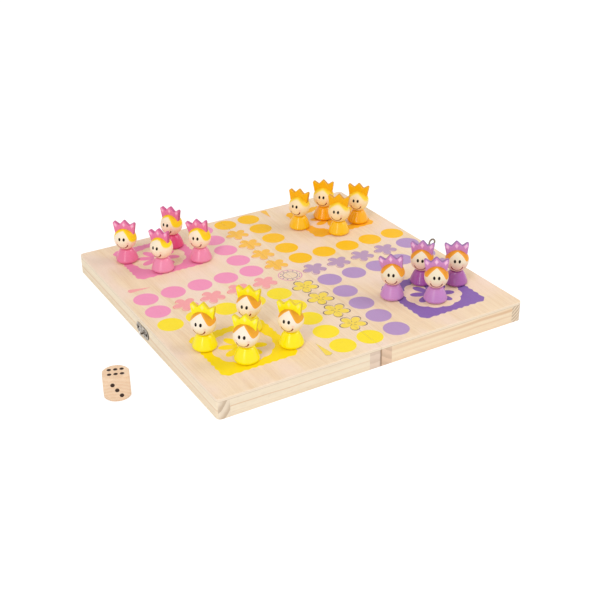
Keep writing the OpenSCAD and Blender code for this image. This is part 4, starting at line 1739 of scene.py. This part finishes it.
PAWNS = [
    Pawn("pink_pawn_1", -4.33, 4.20, -42, 1, 0.4, 13),
    Pawn("pink_pawn_2", -3.54, 2.83, -59, -6, 0, -8),
    Pawn("pink_pawn_3", -2.43, 4.44, -59, 0, 0.95, 7),
    Pawn("pink_pawn_4", -2.05, 2.86, -48, -9, 0.05, 9),
    Pawn("yellow_pawn_1", -4.63, -2.79, -50, 2.5, 0, 0),
    Pawn("yellow_pawn_2", -2.93, -2.54, -50, 1.5, 0.15, 0),
    Pawn("yellow_pawn_3", -3.87, -4.13, -47, 0.5, 0, 0),
    Pawn("yellow_pawn_4", -2.27, -4.04, -52, -3.5, 0, 0),
    Pawn("amber_pawn_1", 2.39, 3.41, -58, 1, 0.05, -4),
    Pawn("amber_pawn_2", 3.65, 3.70, -45, -1, 0.6, 0),
    Pawn("amber_pawn_3", 3.39, 2.19, -49, 0, 0, -8),
    Pawn("amber_pawn_4", 4.58, 2.70, -48, 2, 0.45, 0),
    Pawn("purple_pawn_1", 2.15, -3.11, -44, -8, 0, 4),
    Pawn("purple_pawn_2", 3.25, -4.03, -36, -2, 0.05, 6),
    Pawn("purple_pawn_3", 3.61, -2.76, -48, -1, 0.9, -5),
    Pawn("purple_pawn_4", 4.58, -3.41, -37, -4, 0.75, -2),
]


@dataclass
class Die:
    """The wooden die with its turned corners and dished pips, whose steps are across and up a face."""

    width: float = 20.0
    trim_r: float = 13.85
    pip_r: float = 1.65
    pip_deep: float = 0.5
    pip_step: tuple[float, float] = (3.0, 4.7)
    six_step: tuple[float, float] = (4.7, 3.25)
    middle: tuple[float, float, float] = (-188.5, -70.5, 10.0)
    turn: float = -19.2
    steps: int = 96
    edge_power: int = 44
    trim_power: float = 60.0

    def faces(self) -> list[tuple[int, np.ndarray]]:
        """Each face's number with the directions of its own right, top and outward.

        Returns:
            Pairs of a face's number and its turned axes.
        """
        turns = [(6, (0, 0)), (1, (0, 180)), (3, (0, 90)), (4, (0, -90)), (2, (1, 90)), (5, (1, -90))]
        found = []
        for number, (axis, degrees) in turns:
            found.append((number, np.array(Matrix.Rotation(math.radians(degrees), 3, "XY"[axis]))))
        return found

    def pips(self, number: int) -> np.ndarray:
        """The places of a face's pips, in steps from its middle.

        Args:
            number: The face's number.

        Returns:
            Places (number, 2), in millimetres.
        """
        spots = [(0, 0)] if number % 2 else []
        spots += [(-1, 1), (1, -1)] if number > 1 else []
        spots += [(1, 1), (-1, -1)] if number > 3 else []
        spots += [(0, 1), (0, -1)] if number == 6 else []
        return np.array(spots, float) * (self.six_step if number == 6 else self.pip_step)

    def build(self) -> None:
        """Makes the die as a cube's six grids pushed out along their directions.

        The radius in a direction is a soft minimum of two: a cube's, by a norm of a high even power,
        and that of the ball that trims its corners. Inside a pip's circle the point sinks by a
        parabola of its distance.
        """
        half = self.width / 2
        grid = np.tan(np.linspace(-math.pi / 4, math.pi / 4, self.steps + 1))
        across, up = np.meshgrid(grid, grid, indexing="ij")
        flat = np.stack([across, up, np.ones_like(across)], -1).reshape(-1, 3)
        ray = flat / np.linalg.norm(flat, axis=1)[:, None]
        cube = half / (np.abs(ray) ** self.edge_power).sum(1) ** (1 / self.edge_power)
        power = self.trim_power
        radius = (cube ** -power + self.trim_r ** -power) ** (-1 / power)
        index = np.arange((self.steps + 1) ** 2).reshape(self.steps + 1, -1)
        quads = np.stack([index[:-1, :-1], index[1:, :-1], index[1:, 1:], index[:-1, 1:]], -1).reshape(-1, 4)
        points, faces, pip = [], [], []
        for k, (number, rotation) in enumerate(self.faces()):
            own = ray * radius[:, None]
            gaps = np.linalg.norm(own[:, None, :2] - self.pips(number)[None], axis=2).min(1) / self.pip_r
            own[:, 2] -= self.pip_deep * np.clip(1 - gaps ** 2, 0, None)
            points.append(own @ rotation.T)
            faces.append(quads + k * len(flat))
            pip.append(gaps)
        every = np.vstack(points)
        _, first, welded = np.unique(np.round(every, 4), axis=0, return_index=True, return_inverse=True)
        skin = Skin(every[first], welded.ravel()[np.vstack(faces)].tolist()).outward()
        skin.carried = {"place": skin.points.copy(), "pip": np.concatenate(pip)[first]}
        spin = np.array(Matrix.Rotation(math.radians(self.turn), 3, "Z"))
        skin.points = skin.points @ spin.T + np.array(self.middle)
        make_piece("turned_die", [skin], [DieWood("die_wood_pips")], "die", ("die",))


# ---- Stage ----


def seen_rays(net: Net) -> Wire:
    """1 for rays that come from the camera, off a mirror or through glass, and 0 for all others.

    Args:
        net: The tree of a material or of the world.

    Returns:
        The mask.
    """
    rays = net.add("LightPath")
    mirrored = Wire(net, rays.outputs["Is Glossy Ray"])
    seen = net.math("MAXIMUM", Wire(net, rays.outputs["Is Camera Ray"]), mirrored)
    return net.math("MAXIMUM", seen, Wire(net, rays.outputs["Is Transmission Ray"]))


@dataclass(frozen=True)
class Softbox:
    """A rectangular lamp that faces the board's middle, with its place and size in metres."""

    name: str
    at: tuple[float, float, float]
    size: tuple[float, float]
    power: float

    def build(self) -> None:
        """Makes the lamp."""
        data = bpy.data.lights.new(self.name, "AREA")
        data.shape = "RECTANGLE"
        data.size, data.size_y = self.size
        data.energy = self.power
        lamp = bpy.data.objects.new(self.name, data)
        bpy.context.scene.collection.objects.link(lamp)
        lamp.location = self.at
        lamp.rotation_euler = (-Vector(self.at)).to_track_quat("-Z", "Y").to_euler()


@dataclass
class Stage:
    """The floor, the light and the camera. Places are in metres, the lens and the sensor in millimetres."""

    lens: float = 63.32
    sensor: float = 36.0
    eye: tuple[float, float, float] = (-0.3998, -0.7095, 0.4316)
    ahead: tuple[float, float, float] = (0.4403, 0.7629, -0.4733)
    right: tuple[float, float, float] = (0.8625, -0.5059, -0.0131)
    ambient: float = 0.66
    floor_reach: float = 4.0
    floor_glow: float = 0.9
    floor_white: float = 0.88
    floor_thin: float = 0.24
    lamps: tuple[Softbox, ...] = (
        Softbox("key", (-1.12, -0.84, 0.98), (0.3, 1.7), 9.5),
        Softbox("fill", (0.9, -0.4, 0.9), (0.6, 0.8), 4.5),
    )

    def floor_material(self) -> bpy.types.Material:
        """White to the light's own rays. Seen rays get a glow with a thin shadow, and nothing from below.

        Returns:
            The material.
        """
        material = bpy.data.materials.new("floor_white")
        material.use_nodes = True
        tree = material.node_tree
        tree.nodes.clear()
        net = Net(tree)
        white, thin = net.add("BsdfDiffuse"), net.add("BsdfDiffuse")
        for node, grey in ((white, self.floor_white), (thin, self.floor_thin)):
            node.inputs["Color"].default_value = (grey, grey, grey, 1)
        glow = net.add("Emission")
        glow.inputs["Strength"].default_value = self.floor_glow
        both = net.add("AddShader")
        tree.links.new(thin.outputs[0], both.inputs[0])
        tree.links.new(glow.outputs[0], both.inputs[1])
        above = net.add("MixShader")
        net.plug(above.inputs[0], seen_rays(net))
        tree.links.new(white.outputs[0], above.inputs[1])
        tree.links.new(both.outputs[0], above.inputs[2])
        pick = net.add("MixShader")
        net.plug(pick.inputs[0], Wire(net, net.add("NewGeometry").outputs["Backfacing"]))
        tree.links.new(above.outputs[0], pick.inputs[1])
        tree.links.new(net.add("BsdfTransparent").outputs[0], pick.inputs[2])
        tree.links.new(pick.outputs[0], net.add("OutputMaterial").inputs["Surface"])
        return material

    def floor(self) -> None:
        """A square floor at the rims' level."""
        reach = self.floor_reach
        corners = [(-reach, -reach, 0), (reach, -reach, 0), (reach, reach, 0), (-reach, reach, 0)]
        mesh = bpy.data.meshes.new("floor")
        mesh.from_pydata(corners, [], [(0, 1, 2, 3)])
        mesh.materials.append(self.floor_material())
        floor = bpy.data.objects.new("floor", mesh)
        bpy.context.scene.collection.objects.link(floor)

    def world(self) -> None:
        """White where it is seen or mirrored, and an even grey light on everything else."""
        world = bpy.data.worlds.new("studio")
        bpy.context.scene.world = world
        world.use_nodes = True
        tree = world.node_tree
        tree.nodes.clear()
        net = Net(tree)
        sky = net.add("Background")
        sky.inputs["Color"].default_value = (1, 1, 1, 1)
        net.plug(sky.inputs["Strength"], seen_rays(net) * (1.0 - self.ambient) + self.ambient)
        tree.links.new(sky.outputs[0], net.add("OutputWorld").inputs["Surface"])

    def camera(self) -> None:
        """The camera at the photograph's place, its axes given by the directions ahead and to the right."""
        data = bpy.data.cameras.new("camera")
        data.lens = self.lens
        data.sensor_width = self.sensor
        camera = bpy.data.objects.new("camera", data)
        bpy.context.scene.collection.objects.link(camera)
        ahead = Vector(self.ahead).normalized()
        right = Vector(self.right)
        right = (right - ahead * right.dot(ahead)).normalized()
        up = right.cross(ahead)
        turn = Matrix((right, up, -ahead)).transposed()
        camera.matrix_world = Matrix.Translation(Vector(self.eye)) @ turn.to_4x4()
        bpy.context.scene.camera = camera

    def build(self) -> None:
        """Sets up the floor, the light and the camera."""
        self.floor()
        self.world()
        for lamp in self.lamps:
            lamp.build()
        self.camera()
        bpy.context.scene.view_settings.view_transform = "Standard"


def main() -> None:
    """Builds the stage and each sub-assembly in order."""
    logging.basicConfig(level=logging.INFO, format="%(name)s %(message)s")
    Stage().build()
    Box().dress()
    Fittings().dress()
    Print().build()
    for pawn in PAWNS:
        pawn.build()
    Die().build()


if __name__ == "__main__":
    main()
